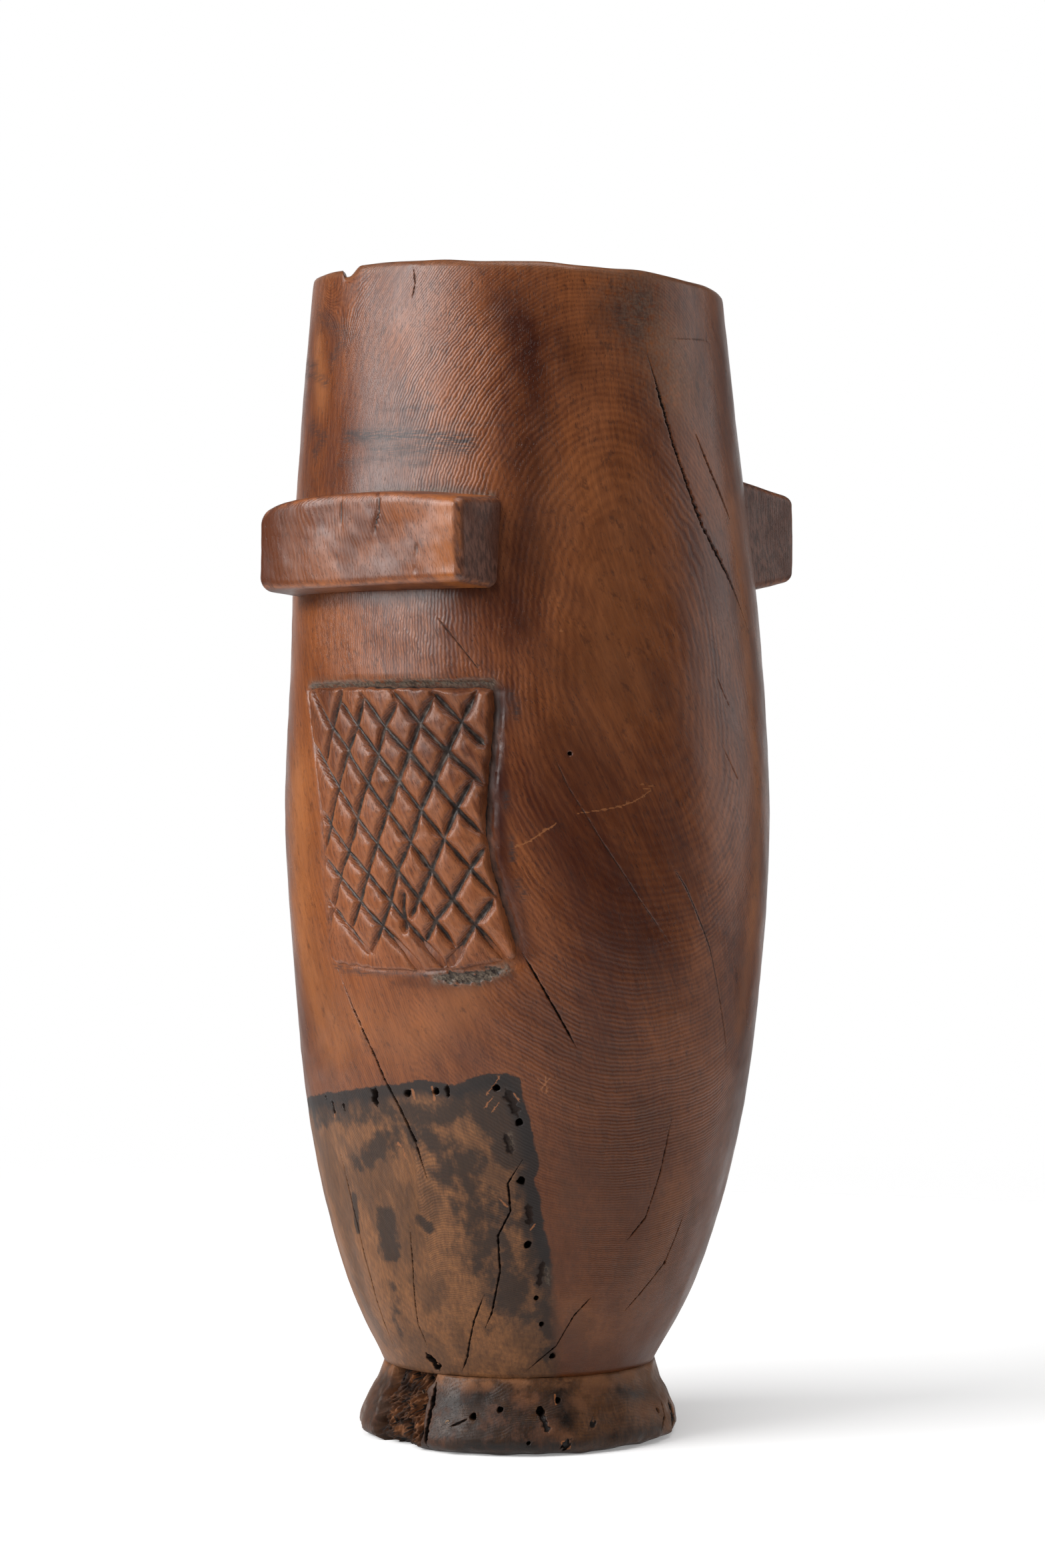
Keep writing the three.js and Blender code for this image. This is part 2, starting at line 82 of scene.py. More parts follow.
# Cuts in the skin: width and depth in mm, and the path as pixels of the photograph
BODY_CUTS = {
    "shoulder crack": (1.1, 2.5, [(972, 534), (986, 579), (1000, 627), (1011, 666), (1034, 733),
                                  (1054, 790), (1077, 836), (1100, 882), (1125, 950)]),
    "shoulder branch": (0.8, 2, [(1045, 652), (1068, 711), (1084, 750), (1095, 779)]),
    "gouge under panel": (4.6, 0.5, [(650, 1467), (715, 1467), (758, 1452)]),
    "crack under lug": (0.35, 0.4, [(650, 918), (690, 968), (727, 1015)]),
    "rim crack": (0.35, 0.5, [(620, 398), (623, 425), (618, 450)]),
    "shoulder scratch": (0.5, 0.2, [(997, 507), (1070, 511)]),
    "crack below panel": (0.6, 1.6, [(784, 1430), (825, 1500), (865, 1571)]),
    "crack into stain": (0.75, 2.5, [(506, 1453), (530, 1513), (559, 1577), (577, 1619), (601, 1665),
                                    (623, 1711), (641, 1768)]),
    "left crack": (0.5, 1.6, [(511, 1730), (523, 1780), (536, 1835), (557, 1918), (573, 1973),
                              (593, 2024)]),
    "middle crack": (0.4, 1.2, [(616, 1835), (621, 1904), (628, 1987), (644, 2024)]),
    "stain crack": (0.6, 2.2, [(784, 1740), (762, 1775), (766, 1817), (747, 1854), (750, 1909),
                               (738, 1969), (728, 1992)]),
    "stain crack end": (0.55, 1.5, [(727, 1941), (711, 1982), (701, 2037), (694, 2056)]),
    "waist crack": (0.4, 1.2, [(892, 1941), (862, 1973), (835, 2019), (786, 2060)]),
    "flank crack": (0.45, 1.4, [(1009, 1675), (991, 1757), (968, 1826), (938, 1863)]),
    "flank branch": (0.35, 1, [(1027, 1817), (997, 1893), (931, 1973)]),
    "right belly crack": (0.5, 0.9, [(1007, 1295), (1030, 1333), (1049, 1379), (1065, 1421), (1080, 1494),
                                     (1091, 1597)]),
    "belly hairline": (0.35, 0.3, [(820, 1110), (852, 1180), (905, 1265), (960, 1350), (1020, 1440)]),
    "belly nick": (0.3, 0.25, [(1075, 1012), (1087, 1040), (1098, 1066)]),
    "belly nick below": (0.3, 0.25, [(1084, 1118), (1102, 1160), (1108, 1172)]),
    "rotten slot": (2.6, 3.5, [(563, 1632), (561, 1645), (566, 1660)]),
    "rotten slot left": (1.6, 2.5, [(498, 1650), (502, 1672)]),
    "rotten slot middle": (1.3, 2, [(515, 1654), (518, 1668)]),
    "torn slit": (1.4, 2, [(671, 1627), (673, 1646)]),
    "corner trough": (3.2, 0.9, [(759, 1633), (778, 1674)]),
    "side trough": (3, 0.8, [(757, 1700), (769, 1732)]),
    "lower trough": (2.6, 0.7, [(792, 1805), (795, 1840)]),
    "lowest trough": (2.4, 0.6, [(815, 1890), (809, 1932)]),
    "rot above foot": (3.4, 4.5, [(640, 2030), (650, 2042), (660, 2056)]),
}

# Nail holes of the lost patch, and small pits: pixel and radius in mm
BODY_HOLES = {
    "top row 1": (488, 1646, 0.8), "top row 2": (564, 1643, 1.1), "top row 3": (611, 1640, 1.3),
    "top row 4": (654, 1637, 1.3), "corner": (745, 1632, 1.2), "side 1": (779, 1684, 1.35),
    "side 2": (782, 1771, 1.4), "side 3": (792, 1867, 1.3), "side 4": (805, 1947, 0.9),
    "side 5": (813, 1986, 0.8), "side 6": (829, 2034, 1.1), "belly pit": (855, 1130, 0.7),
    "flank pit": (997, 1893, 0.7),
}

# Pale scratches and raw splinters: width in mm and path in pixels
PALE_MARKS = {
    "scratch 1": (0.4, [(730, 1642), (748, 1618)]),
    "scratch 2": (0.4, [(727, 1662), (740, 1645)]),
    "scratch 3": (0.4, [(738, 1668), (748, 1655)]),
    "ring beside hole": (0.6, [(771, 1640), (779, 1652)]),
    "splinter at hole 3": (1.2, [(618, 1634), (622, 1648)]),
    "splinter at hole 4": (0.9, [(648, 1630), (652, 1650)]),
    "splinter in slot": (0.8, [(500, 1655), (502, 1675)]),
    "bright pit": (1.3, [(597, 1715), (599, 1718)]),
    "bright sliver": (0.6, [(604, 1722), (609, 1738)]),
    "sliver at side": (0.8, [(751, 1800), (761, 1810)]),
    "scratch at side": (0.7, [(796, 1845), (803, 1836)]),
    "arc on belly": (0.5, [(866, 1220), (897, 1216), (930, 1210), (950, 1203), (965, 1194), (976, 1185)]),
    "arc fork 1": (0.4, [(961, 1177), (979, 1179)]),
    "arc fork 2": (0.4, [(965, 1183), (979, 1184)]),
    "scratch on belly": (0.5, [(772, 1270), (791, 1264), (835, 1235)]),
    "beside patch 1": (0.45, [(806, 1618), (822, 1632)]),
    "beside patch 2": (0.45, [(812, 1634), (826, 1616)]),
    "beside patch 3": (0.45, [(818, 1612), (820, 1638)]),
    "pale dot": (0.8, [(840, 946), (842, 946)]),
}

# Outline of the lost patch in the photograph: its top edge, and then its right edge down to the waist
PATCH_OUTLINE = [
    (446, 1650), (462, 1646), (499, 1638), (550, 1631), (592, 1626), (631, 1619), (662, 1624),
    (684, 1628), (700, 1620), (715, 1613), (762, 1609), (777, 1614), (783, 1632), (788, 1655),
    (797, 1689), (803, 1720), (810, 1748), (801, 1773), (810, 1794), (817, 1842), (830, 1886),
    (840, 1944), (848, 2013), (850, 2056),
]
PATCH_LEFT_AZIMUTH = 124

# Outline of the near panel in the photograph, clockwise from its upper left
PANEL_OUTLINE = [
    (463, 1036), (470, 1031), (600, 1030), (736, 1030), (743, 1036), (744, 1060), (741, 1100), (734, 1171),
    (730, 1240), (736, 1290), (748, 1330), (765, 1383), (779, 1430), (778, 1440), (766, 1447), (700, 1456),
    (630, 1459), (562, 1456), (506, 1446), (498, 1440), (487, 1340), (486, 1275), (480, 1190), (471, 1116),
]

# A bite broken out of the rim, which slants through the wall
RIM_NOTCH = (523, 412)
NOTCH_HALF_WIDTH = 3.6
NOTCH_RAMP = 9
NOTCH_DEPTH = 3.6
NOTCH_SLANT = 1.6

# Soft-edged places of the skin that differ in colour, among them painted shade and painted light: width in
# mm, strength, and path in pixels
PLACES = {
    # Dark: partly the wood's own darker tone, partly painted shade under the rim, round the near lug, beside
    # and under the panel, and across the front
    "dark": {
        "beside near lug": (20, 1.0, [(770, 450), (795, 520), (806, 640), (790, 760), (775, 940)]),
        "behind near lug": (5, 1.0, [(744, 748), (750, 800), (746, 884)]),
        "beside panel": (9, 1.0, [(754, 1040), (748, 1180), (752, 1300), (790, 1430)]),
        "under panel": (5, 0.6, [(600, 1474), (720, 1476), (770, 1462)]),
        "over near lug": (4, 0.5, [(560, 735), (660, 730), (745, 742)]),
        "under near lug": (5, 0.6, [(450, 905), (560, 896), (720, 885)]),
        "front": (44, 0.7, [(850, 1020), (830, 1130), (880, 1250), (940, 1400)]),
        "under rim": (24, 0.6, [(800, 450), (860, 560)]),
        "under rim right": (16, 0.4, [(900, 480), (960, 450)]),
        "beside patch": (10, 0.6, [(856, 1960), (880, 2030), (960, 2046)]),
        "lower right": (44, 0.5, [(880, 1600), (900, 1760), (960, 1700)]),
        "right of the patch": (26, 0.6, [(810, 1500), (850, 1560)]),
        "low blotch": (9, 0.8, [(858, 2004), (874, 2036)]),
        "waist": (4, 0.7, [(790, 2052), (840, 2050), (880, 2046)]),
    },
    # The belly and the upper left edge are painted light on the side the key lamp faces, and the right edge
    # is a painted highlight
    "light": {
        "belly": (26, 0.5, [(446, 1180), (452, 1400), (500, 1560)]),
        "upper left edge": (12, 0.4, [(478, 520), (482, 600)]),
        "right of the crown": (18, 0.4, [(1000, 520), (1010, 590)]),
        "oval": (50, 0.22, [(900, 760), (930, 1000)]),
        "low amber": (14, 0.7, [(862, 1962), (900, 2000)]),
        "above patch": (20, 0.3, [(520, 1530), (620, 1560), (700, 1500)]),
        "right edge": (10, 0.35, [(1098, 760), (1130, 1100), (1136, 1300), (1110, 1540)]),
        "low right": (20, 0.5, [(1010, 1800), (960, 1960), (920, 2000)]),
    },
    "ripple": {
        "over near lug": (64, 1.0, [(620, 440), (680, 560), (700, 700)]),
        "knot": (24, 0.7, [(490, 440), (530, 480)]),
        "under near lug": (30, 0.9, [(500, 940), (620, 960), (750, 970), (810, 1040)]),
        "right of near lug": (26, 0.8, [(795, 640), (800, 900)]),
        "below the oval": (14, 0.5, [(850, 1010), (880, 1090), (930, 1120), (985, 1060), (1000, 960)]),
        "round the oval": (12, 0.6, [(1000, 680), (1060, 900), (1100, 1250), (1050, 1420)]),
        "in the stain": (60, 0.7, [(600, 1760), (740, 1800), (700, 1900)]),
        "low front": (60, 0.7, [(860, 1560), (960, 1720), (1040, 1640)]),
        "low right": (50, 0.7, [(900, 1900), (1000, 1860)]),
        "beside panel": (14, 0.5, [(790, 1150), (800, 1330)]),
    },
    "dust": {
        "upper right": (34, 0.4, [(960, 450), (1010, 560)]),
        "over near lug": (2.4, 0.8, [(500, 752), (580, 741), (660, 737), (738, 743)]),
        "over panel": (3.2, 1.0, [(466, 1029), (600, 1024), (738, 1025)]),
        "under panel": (4.5, 0.9, [(655, 1467), (715, 1468), (758, 1453)]),
        "scuff by hole": (1.6, 0.6, [(765, 1700), (769, 1722)]),
        "scuff below": (2.0, 0.6, [(820, 1904), (823, 1926)]),
    },
    "smudge": {
        "highest": (1.0, 0.8, [(565, 613), (655, 611)]),
        "high": (1.2, 0.9, [(608, 632), (690, 634), (770, 634)]),
        "upper": (5.0, 1.0, [(520, 655), (620, 652), (705, 660)]),
        "middle": (4.6, 0.8, [(560, 672), (640, 676), (705, 672)]),
        "lower": (2.2, 0.6, [(505, 697), (580, 690), (640, 696)]),
        "left edge": (3.0, 0.7, [(455, 560), (480, 566), (490, 575)]),
        "left edge high": (2.4, 0.7, [(458, 545), (478, 548)]),
        "left edge low": (6.0, 0.6, [(466, 640), (486, 655), (470, 680)]),
        "upper left cloud": (7.0, 0.5, [(480, 470), (520, 500), (500, 540)]),
        "under rim": (8.0, 0.5, [(930, 470), (955, 500), (965, 440)]),
        # The line under the panel and the marks by its right edge are partly smudged dirt and partly painted
        # shade along the panel's edges
        "line under panel": (1.6, 0.9, [(500, 1449), (560, 1461), (640, 1464)]),
        "by panel 1": (2.0, 0.9, [(757, 1190), (762, 1210)]),
        "by panel 2": (2.0, 0.9, [(765, 1255), (770, 1290)]),
        "by panel 3": (2.0, 0.9, [(775, 1320), (790, 1350)]),
        "by panel 4": (2.4, 0.9, [(768, 1040), (775, 1075)]),
    },
    "blotch": {
        "arc": (13, 0.7, [(540, 1745), (575, 1715), (620, 1700), (665, 1725)]),
        "left": (4.5, 1.0, [(532, 1798), (537, 1845)]),
        "middle": (11, 1.0, [(580, 1826), (586, 1880)]),
        "small": (3.5, 0.9, [(612, 1800), (612, 1808)]),
        "right of middle": (5, 0.9, [(630, 1830), (645, 1842)]),
        "under top edge": (14, 0.7, [(470, 1672), (560, 1665), (650, 1672), (730, 1655)]),
        "corner": (22, 1.0, [(735, 1645), (770, 1720)]),
        "along right edge": (16, 0.7, [(785, 1760), (800, 1850), (815, 1940), (822, 2030)]),
        "inner right": (30, 0.7, [(690, 1740), (730, 1840), (775, 1950)]),
        "low left": (10, 0.5, [(590, 1930), (600, 2000)]),
    },
}


def smoothstep(low, high, value):
    share = np.clip((value - low) / (high - low), 0, 1)
    return share * share * (3 - 2 * share)


def smooth_line(points, steps=24):
    """Points along an even curve through the given ones."""
    points = np.array(points, float)
    padded = np.vstack([points[:1], points, points[-1:]])
    share = np.linspace(0, 1, steps, endpoint=False)[:, None]
    stretches = []
    for before, start, end, after in zip(padded, padded[1:], padded[2:], padded[3:]):
        slope = end - before
        bend = 2 * before - 5 * start + 4 * end - after
        twist = 3 * start - before - 3 * end + after
        stretches.append(start + 0.5 * (slope * share + bend * share**2 + twist * share**3))
    return np.vstack(stretches + [points[-1:]])


body_line = smooth_line(BODY_STATIONS)


def body_radius(height):
    return np.interp(height, body_line[:, 0], body_line[:, 1])


sway_turn = math.radians(SWAY_AZIMUTH)
sway_direction = np.array([math.cos(sway_turn), math.sin(sway_turn)])


def sway_at(height):
    share = np.clip((height - WAIST_HEIGHT) / (NECK_HEIGHT - WAIST_HEIGHT), 0, 1)
    return BELLY_SWAY * np.sin(np.pi * share)


def settled(azimuth, radius, height):
    """Points of the true round form, moved with the log's sway and the slope of the rim."""
    turn = np.radians(azimuth)
    flat = np.column_stack([radius * np.cos(turn), radius * np.sin(turn)])
    drop = RIM_DROP * smoothstep(SHOULDER_HEIGHT, RIM_HEIGHT, height) * (flat @ sway_direction) / RIM_RADIUS
    flat = flat + np.outer(sway_at(height), sway_direction)
    return np.column_stack([flat, height - drop])


def on_skin(pixels, radius_at=body_radius):
    """Azimuths and heights of pixels of the photograph, where their sight lines meet the skin."""
    column, row = np.array(pixels, float).T
    toward = np.full(len(column), 80.0)
    for _ in range(16):
        depth = EYE_DISTANCE - toward
        height = EYE_HEIGHT - (row - PHOTO_HEIGHT / 2) * depth / FOCAL_LENGTH
        across = EYE_OFFSET + (column - PHOTO_WIDTH / 2) * depth / FOCAL_LENGTH - sway_at(height)
        toward = np.sqrt(np.clip(radius_at(height) ** 2 - across**2, 1, None))
    slope = RIM_DROP * smoothstep(SHOULDER_HEIGHT, RIM_HEIGHT, height) * across / RIM_RADIUS
    azimuth = EYE_AZIMUTH + np.degrees(np.arctan2(across, toward))
    return np.column_stack([azimuth, height + slope])


def arc_at(height, radius_at=body_radius):
    """How long a degree is along the skin, in mm."""
    return math.radians(1) * radius_at(height)


def path_distance(across, up, path, stretch=1.0):
    """Distance in mm to a path, and how far along the path its nearest point is, 0 to 1."""
    nearest = np.full(len(across), 1e9)
    share = np.zeros(len(across))
    for i, (start, end) in enumerate(zip(path, path[1:])):
        from_x, from_y = (start[0] - across) * stretch, start[1] - up
        run_x, run_y = (end[0] - start[0]) * stretch, end[1] - start[1]
        at = np.clip(-(from_x * run_x + from_y * run_y) / (run_x**2 + run_y**2), 0, 1)
        distance = np.hypot(from_x + at * run_x, from_y + at * run_y)
        closer = distance < nearest
        nearest[closer] = distance[closer]
        share[closer] = (i + at[closer]) / (len(path) - 1)
    return nearest, share


def waves(points, length, seed, count=14):
    """Smooth uneven relief of about -1 to 1: a seeded sum of plane waves of about the given length."""
    draw = np.random.default_rng(seed)
    total = np.zeros(len(points))
    for _ in range(count):
        direction = draw.normal(size=3)
        direction *= 2 * math.pi / (np.linalg.norm(direction) * length * draw.uniform(0.6, 1.6))
        total += np.sin(points @ direction + draw.uniform(0, 2 * math.pi))
    return total / math.sqrt(count)


def cut_relief(azimuth, height, cuts, radius_at, uneven):
    """How deep a set of cuts and cracks goes at each point, in mm."""
    depth = np.zeros(len(azimuth))
    for width, most, pixels in cuts.values():
        path = on_skin(pixels, radius_at)
        distance, share = path_distance(azimuth, height, path, arc_at(height, radius_at))
        taper = np.clip(6 * share, 0.25, 1) * np.clip(6 * (1 - share), 0.25, 1)
        half = width / 2 * taper * (1 + 0.35 * uneven)
        depth = np.maximum(depth, most * taper * (1 - smoothstep(0.3 * half, 1.25 * half, distance)))
    return depth


def hole_relief(azimuth, height, holes, depth, radius_at, uneven):
    """How deep the nail holes go at each point, in mm."""
    deepest = np.zeros(len(azimuth))
    arc = arc_at(height, radius_at)
    for column, row, radius in holes.values():
        ((at_azimuth, at_height),) = on_skin([(column, row)], radius_at)
        distance = np.hypot((azimuth - at_azimuth) * arc, height - at_height) / (1 + 0.12 * uneven)
        deepest = np.maximum(deepest, depth * (1 - smoothstep(0.7 * radius, 1.1 * radius, distance)))
    return deepest


def nearest_feature(azimuth, height, cuts, holes, marks, radius_at=body_radius):
    """Distance in mm to the edge of the nearest cut, hole or mark: where the mesh has to be fine."""
    nearest = np.full(len(azimuth), 1e9)
    arc = arc_at(height, radius_at)
    for _, pixels in marks.values():
        distance, _ = path_distance(azimuth, height, on_skin(pixels, radius_at), arc)
        nearest = np.minimum(nearest, distance + 0.5)
    for width, _, pixels in cuts.values():
        distance, _ = path_distance(azimuth, height, on_skin(pixels, radius_at), arc)
        nearest = np.minimum(nearest, distance - width / 2)
    for column, row, radius in holes.values():
        ((at_azimuth, at_height),) = on_skin([(column, row)], radius_at)
        distance = np.hypot((azimuth - at_azimuth) * arc, height - at_height)
        nearest = np.minimum(nearest, distance - radius)
    return nearest


def pale_mask(azimuth, height, marks, radius_at=body_radius):
    """How strongly each point lies on a raw mark, 0 to 1."""
    mask = np.zeros(len(azimuth))
    for width, pixels in marks.values():
        path = on_skin(pixels, radius_at)
        distance, _ = path_distance(azimuth, height, path, arc_at(height, radius_at))
        mask = np.maximum(mask, 1 - smoothstep(0.2 * width, 0.7 * width, distance))
    return mask


def outline_distance(across, up, outline, stretch=1.0):
    """Distance in mm to a closed outline, positive inside it."""
    closed = np.vstack([outline, outline[:1]])
    distance, _ = path_distance(across, up, closed, stretch)
    inside = np.zeros(len(across), bool)
    for start, end in zip(closed, closed[1:]):
        crosses = (start[1] > up) != (end[1] > up)
        span = end[1] - start[1] if end[1] != start[1] else 1
        at = start[0] + (up - start[1]) / span * (end[0] - start[0])
        inside ^= crosses & (across < at)
    return np.where(inside, distance, -distance)


def soft_places(azimuth, height, places, radius_at=body_radius):
    """How strongly each point lies in a set of soft-edged places, 0 to 1."""
    mask = np.zeros(len(azimuth))
    for width, strength, pixels in places.values():
        path = on_skin(pixels, radius_at)
        distance, _ = path_distance(azimuth, height, path, arc_at(height, radius_at))
        mask = np.maximum(mask, strength * np.exp(-((2 * distance / width) ** 2)))
    return mask


def panel_middle(panel, height):
    share = (height - panel["bottom"]) / PANEL_HEIGHT
    return panel["azimuth"] + panel["bottom_turn"] + (panel["top_turn"] - panel["bottom_turn"]) * share


def panel_plane(panel, azimuth, height):
    """Places on the carved pattern, in mm across from its middle line and up from its bottom."""
    turn = (azimuth - panel_middle(panel, height) + 180) % 360 - 180
    return panel["mirror"] * turn * arc_at(height), height - panel["bottom"]


panel_outline = np.column_stack(panel_plane(NEAR_PANEL, *on_skin(PANEL_OUTLINE).T))


def panel_border(across, up):
    """Width of the groove round the panel: none at the left, a thin line below, wider elsewhere."""
    border = -0.2 + 0.6 * smoothstep(-30, -15, across)
    border = border + 1.5 * smoothstep(90, 100, up)
    return np.maximum(border, 2.3 * smoothstep(18, 36, across))


def panel_edge(panel, azimuth, height):
    """Distance in mm inside a panel's outline, and inside the outline of the field that it stands in."""
    across, up = panel_plane(panel, azimuth, height)
    close = (np.abs(across) < 70) & (np.abs(up - PANEL_HEIGHT / 2) < 75)
    edge = np.full(len(across), -20.0)
    edge[close] = outline_distance(across[close], up[close], panel_outline)
    return edge, edge + panel_border(across, up)


# The growth rings lie round a pith that leans away behind the vessel, so they cut the skin in ovals.
# A fork in the log bends them to nested Vs at the lower left, and a knot to arcs under the rim.
PITH_AZIMUTH = 63
PITH_REACH = 35
PITH_LEAN = 0.063
OVAL_HEIGHT = 319
FORK = {"azimuth": 192, "height": 95, "spread": 7, "rise": 60, "pull": 4.5, "power": 1}
KNOT = {"azimuth": 152, "height": 448, "spread": 15, "rise": 26, "pull": 18, "power": 2}
CROWN_START = 340
CROWN_BEND = 0.00085
FIBRE_TWIST = 1.1
TWIST_START = 80
TWIST_END = 400


def growth_at(points):
    """Which growth ring a point lies in, as a distance from the pith in mm."""
    x, y, z = points.T
    reach = PITH_REACH + PITH_LEAN * (z - OVAL_HEIGHT)
    turn = math.radians(PITH_AZIMUTH)
    ring = np.hypot(x - reach * math.cos(turn), y - reach * math.sin(turn))
    ring = ring - CROWN_BEND * np.clip(z - CROWN_START, 0, None) ** 2
    azimuth = np.degrees(np.arctan2(y, x)) % 360
    for bend in (FORK, KNOT):
        away = np.abs((azimuth - bend["azimuth"]) / bend["spread"]) ** bend["power"]
        above = ((z - bend["height"]) / bend["rise"]) ** 2
        ring = ring + bend["pull"] * np.exp(-away - above)
    return ring


def slant_at(points, normals):
    """How steeply the skin cuts the rings, 0 where it lies along one and 1 where it crosses them."""
    x, y, z = points.T
    reach = PITH_REACH + PITH_LEAN * (z - OVAL_HEIGHT)
    turn = math.radians(PITH_AZIMUTH)
    outward = np.column_stack([x - reach * math.cos(turn), y - reach * math.sin(turn), 0 * z])
    outward /= np.linalg.norm(outward, axis=1, keepdims=True)
    return np.linalg.norm(np.cross(outward, normals), axis=1)


def fibre_at(points):
    """Where a point lies among the fibres, which wind slowly round the log: untwisted, in mm."""
    x, y, z = points.T
    radius = np.hypot(x, y)
    turn = np.arctan2(y, x) + FIBRE_TWIST * smoothstep(TWIST_START, TWIST_END, z)
    return np.column_stack([radius * np.cos(turn), radius * np.sin(turn), z])


def cell_grid(columns, rows):
    """A flat mesh of cells, x by column value and y by row value, to be refined and then placed."""
    across, up = np.meshgrid(columns, rows)
    corners = np.column_stack([across.ravel(), up.ravel(), np.zeros(across.size)])
    width = len(columns)
    first = (np.arange(len(rows) - 1)[:, None] * width + np.arange(width - 1)).ravel()
    faces = np.column_stack([first, first + 1, first + width + 1, first + width])
    flat = bpy.data.meshes.new("cells")
    flat.from_pydata(corners.tolist(), [], faces.tolist())
    cells = bmesh.new()
    cells.from_mesh(flat)
    bpy.data.meshes.remove(flat)
    return cells


def flat_places(cells):
    return np.array([corner.co[:2] for corner in cells.verts])


def halve_cells(cells, near, reach):
    """Halves the cells whose corners are all nearer than the reach."""
    places = flat_places(cells)
    close = near(places[:, 0], places[:, 1]) < reach
    edges = [edge for edge in cells.edges if close[edge.verts[0].index] and close[edge.verts[1].index]]
    bmesh.ops.subdivide_edges(cells, edges=edges, cuts=1, use_grid_fill=True)
    cells.verts.index_update()


def carved_piece(name, cells, points, masks):
    """A smooth piece with the cells' corners at their places in mm, and the masks for its finish."""
    mesh = bpy.data.meshes.new(name)
    cells.to_mesh(mesh)
    cells.free()
    mesh.vertices.foreach_set("co", (points * MM).ravel())
    masks = {"growth": growth_at(points), **masks}
    for label, values in masks.items():
        layer = mesh.attributes.new(label, "FLOAT", "POINT")
        layer.data.foreach_set("value", values.astype(np.float32))
    layer = mesh.attributes.new("fibre", "FLOAT_VECTOR", "POINT")
    layer.data.foreach_set("vector", fibre_at(points).astype(np.float32).ravel())
    normals = np.array([normal.vector[:] for normal in mesh.vertex_normals])
    layer = mesh.attributes.new("slant", "FLOAT", "POINT")
    layer.data.foreach_set("value", slant_at(points, normals).astype(np.float32))
    welded = bmesh.new()
    welded.from_mesh(mesh)
    bmesh.ops.remove_doubles(welded, verts=welded.verts, dist=2e-6)
    bmesh.ops.dissolve_degenerate(welded, edges=welded.edges, dist=1e-7)
    welded.to_mesh(mesh)
    welded.free()
    mesh.shade_smooth()
    piece = bpy.data.objects.new(name, mesh)
    bpy.context.collection.objects.link(piece)
    return piece


def body_profile():
    """Radius and height of the body's section against the run along it: base, outside, lip, hollow."""
    lip_start = RIM_HEIGHT - LIP_ROUND
    outside = [(body_radius(height), height) for height in np.arange(WAIST_HEIGHT, lip_start, 2)]
    quarter = np.linspace(0, math.pi / 2, 6)
    outer = body_radius(lip_start) - LIP_ROUND
    inner = RIM_RADIUS - RIM_WALL + LIP_ROUND
    lip = [(outer + LIP_ROUND * math.cos(turn), lip_start + LIP_ROUND * math.sin(turn)) for turn in quarter]
    lip += [(inner - LIP_ROUND * math.sin(turn), lip_start + LIP_ROUND * math.cos(turn)) for turn in quarter]
    hollow = []
    for height in np.linspace(lip_start - 6, BOWL_TOP_HEIGHT, 60):
        wall = BODY_WALL + (RIM_WALL - BODY_WALL) * smoothstep(238, RIM_HEIGHT, height)
        hollow.append((body_radius(height) - wall, height))
    bowl_radius = body_radius(BOWL_TOP_HEIGHT) - BODY_WALL
    bowl_depth = BOWL_TOP_HEIGHT - FLOOR_HEIGHT
    for turn in np.linspace(0, math.pi / 2, 16)[1:]:
        hollow.append((bowl_radius * math.cos(turn), BOWL_TOP_HEIGHT - bowl_depth * math.sin(turn)))
    section = np.array([(0, WAIST_HEIGHT)] + outside + lip + hollow)
    steps = np.hypot(*np.diff(section, axis=0).T)
    run = np.concatenate([[0], np.cumsum(steps)])
    return run, section


def ring_columns(fine_step, coarse_step):
    """Azimuths once round the log, closest on the side that the photograph shows."""
    fine = np.arange(FRONT_START, FRONT_END, fine_step)
    coarse = np.arange(FRONT_END + 1, FRONT_START + 360, coarse_step)
    return np.concatenate([fine, coarse, [FRONT_START + 360]])


body_run, body_section = body_profile()
crest = int(np.argmax(body_section[:, 1])) + 1
run_at_lip = float(np.interp(RIM_HEIGHT - LIP_ROUND, body_section[:crest, 1], body_run[:crest]))
run_at_waist = float(body_run[1])
skin_rows = np.concatenate([
    [0, 20, 40, run_at_waist - 1], np.arange(run_at_waist, run_at_lip - 1, 2),
    np.linspace(run_at_lip, run_at_lip + 14, 13), np.linspace(run_at_lip + 24, body_run[-1], 32),
])
body_cells = cell_grid(ring_columns(1.3, 3), skin_rows)


def height_on_outside(run):
    """Height of the outside at a run along the section. The lip and the hollow count as far away."""
    height = np.interp(run, body_run, body_section[:, 1])
    return np.where(run > run_at_lip + 4, OUT_OF_REACH, height)


((notch_azimuth, _),) = on_skin([RIM_NOTCH])


def body_detail(azimuth, run):
    """Distance in mm to the nearest carved or broken detail of the body."""
    height = height_on_outside(run)
    notch_side = np.abs(azimuth + 5 - notch_azimuth) * arc_at(RIM_HEIGHT) - 15
    at_notch = np.maximum(notch_side, np.abs(run - run_at_lip - 5) - 9)
    near = nearest_feature(azimuth, height, BODY_CUTS, BODY_HOLES, PALE_MARKS)
    for panel in (NEAR_PANEL, FAR_PANEL):
        near = np.minimum(near, np.abs(panel_edge(panel, azimuth, height)[1]) + 0.6)
    return np.minimum(near, np.maximum(at_notch, 0) + 0.6)


for reach in (2.6, 1.4, 0.55):
    halve_cells(body_cells, body_detail, reach)

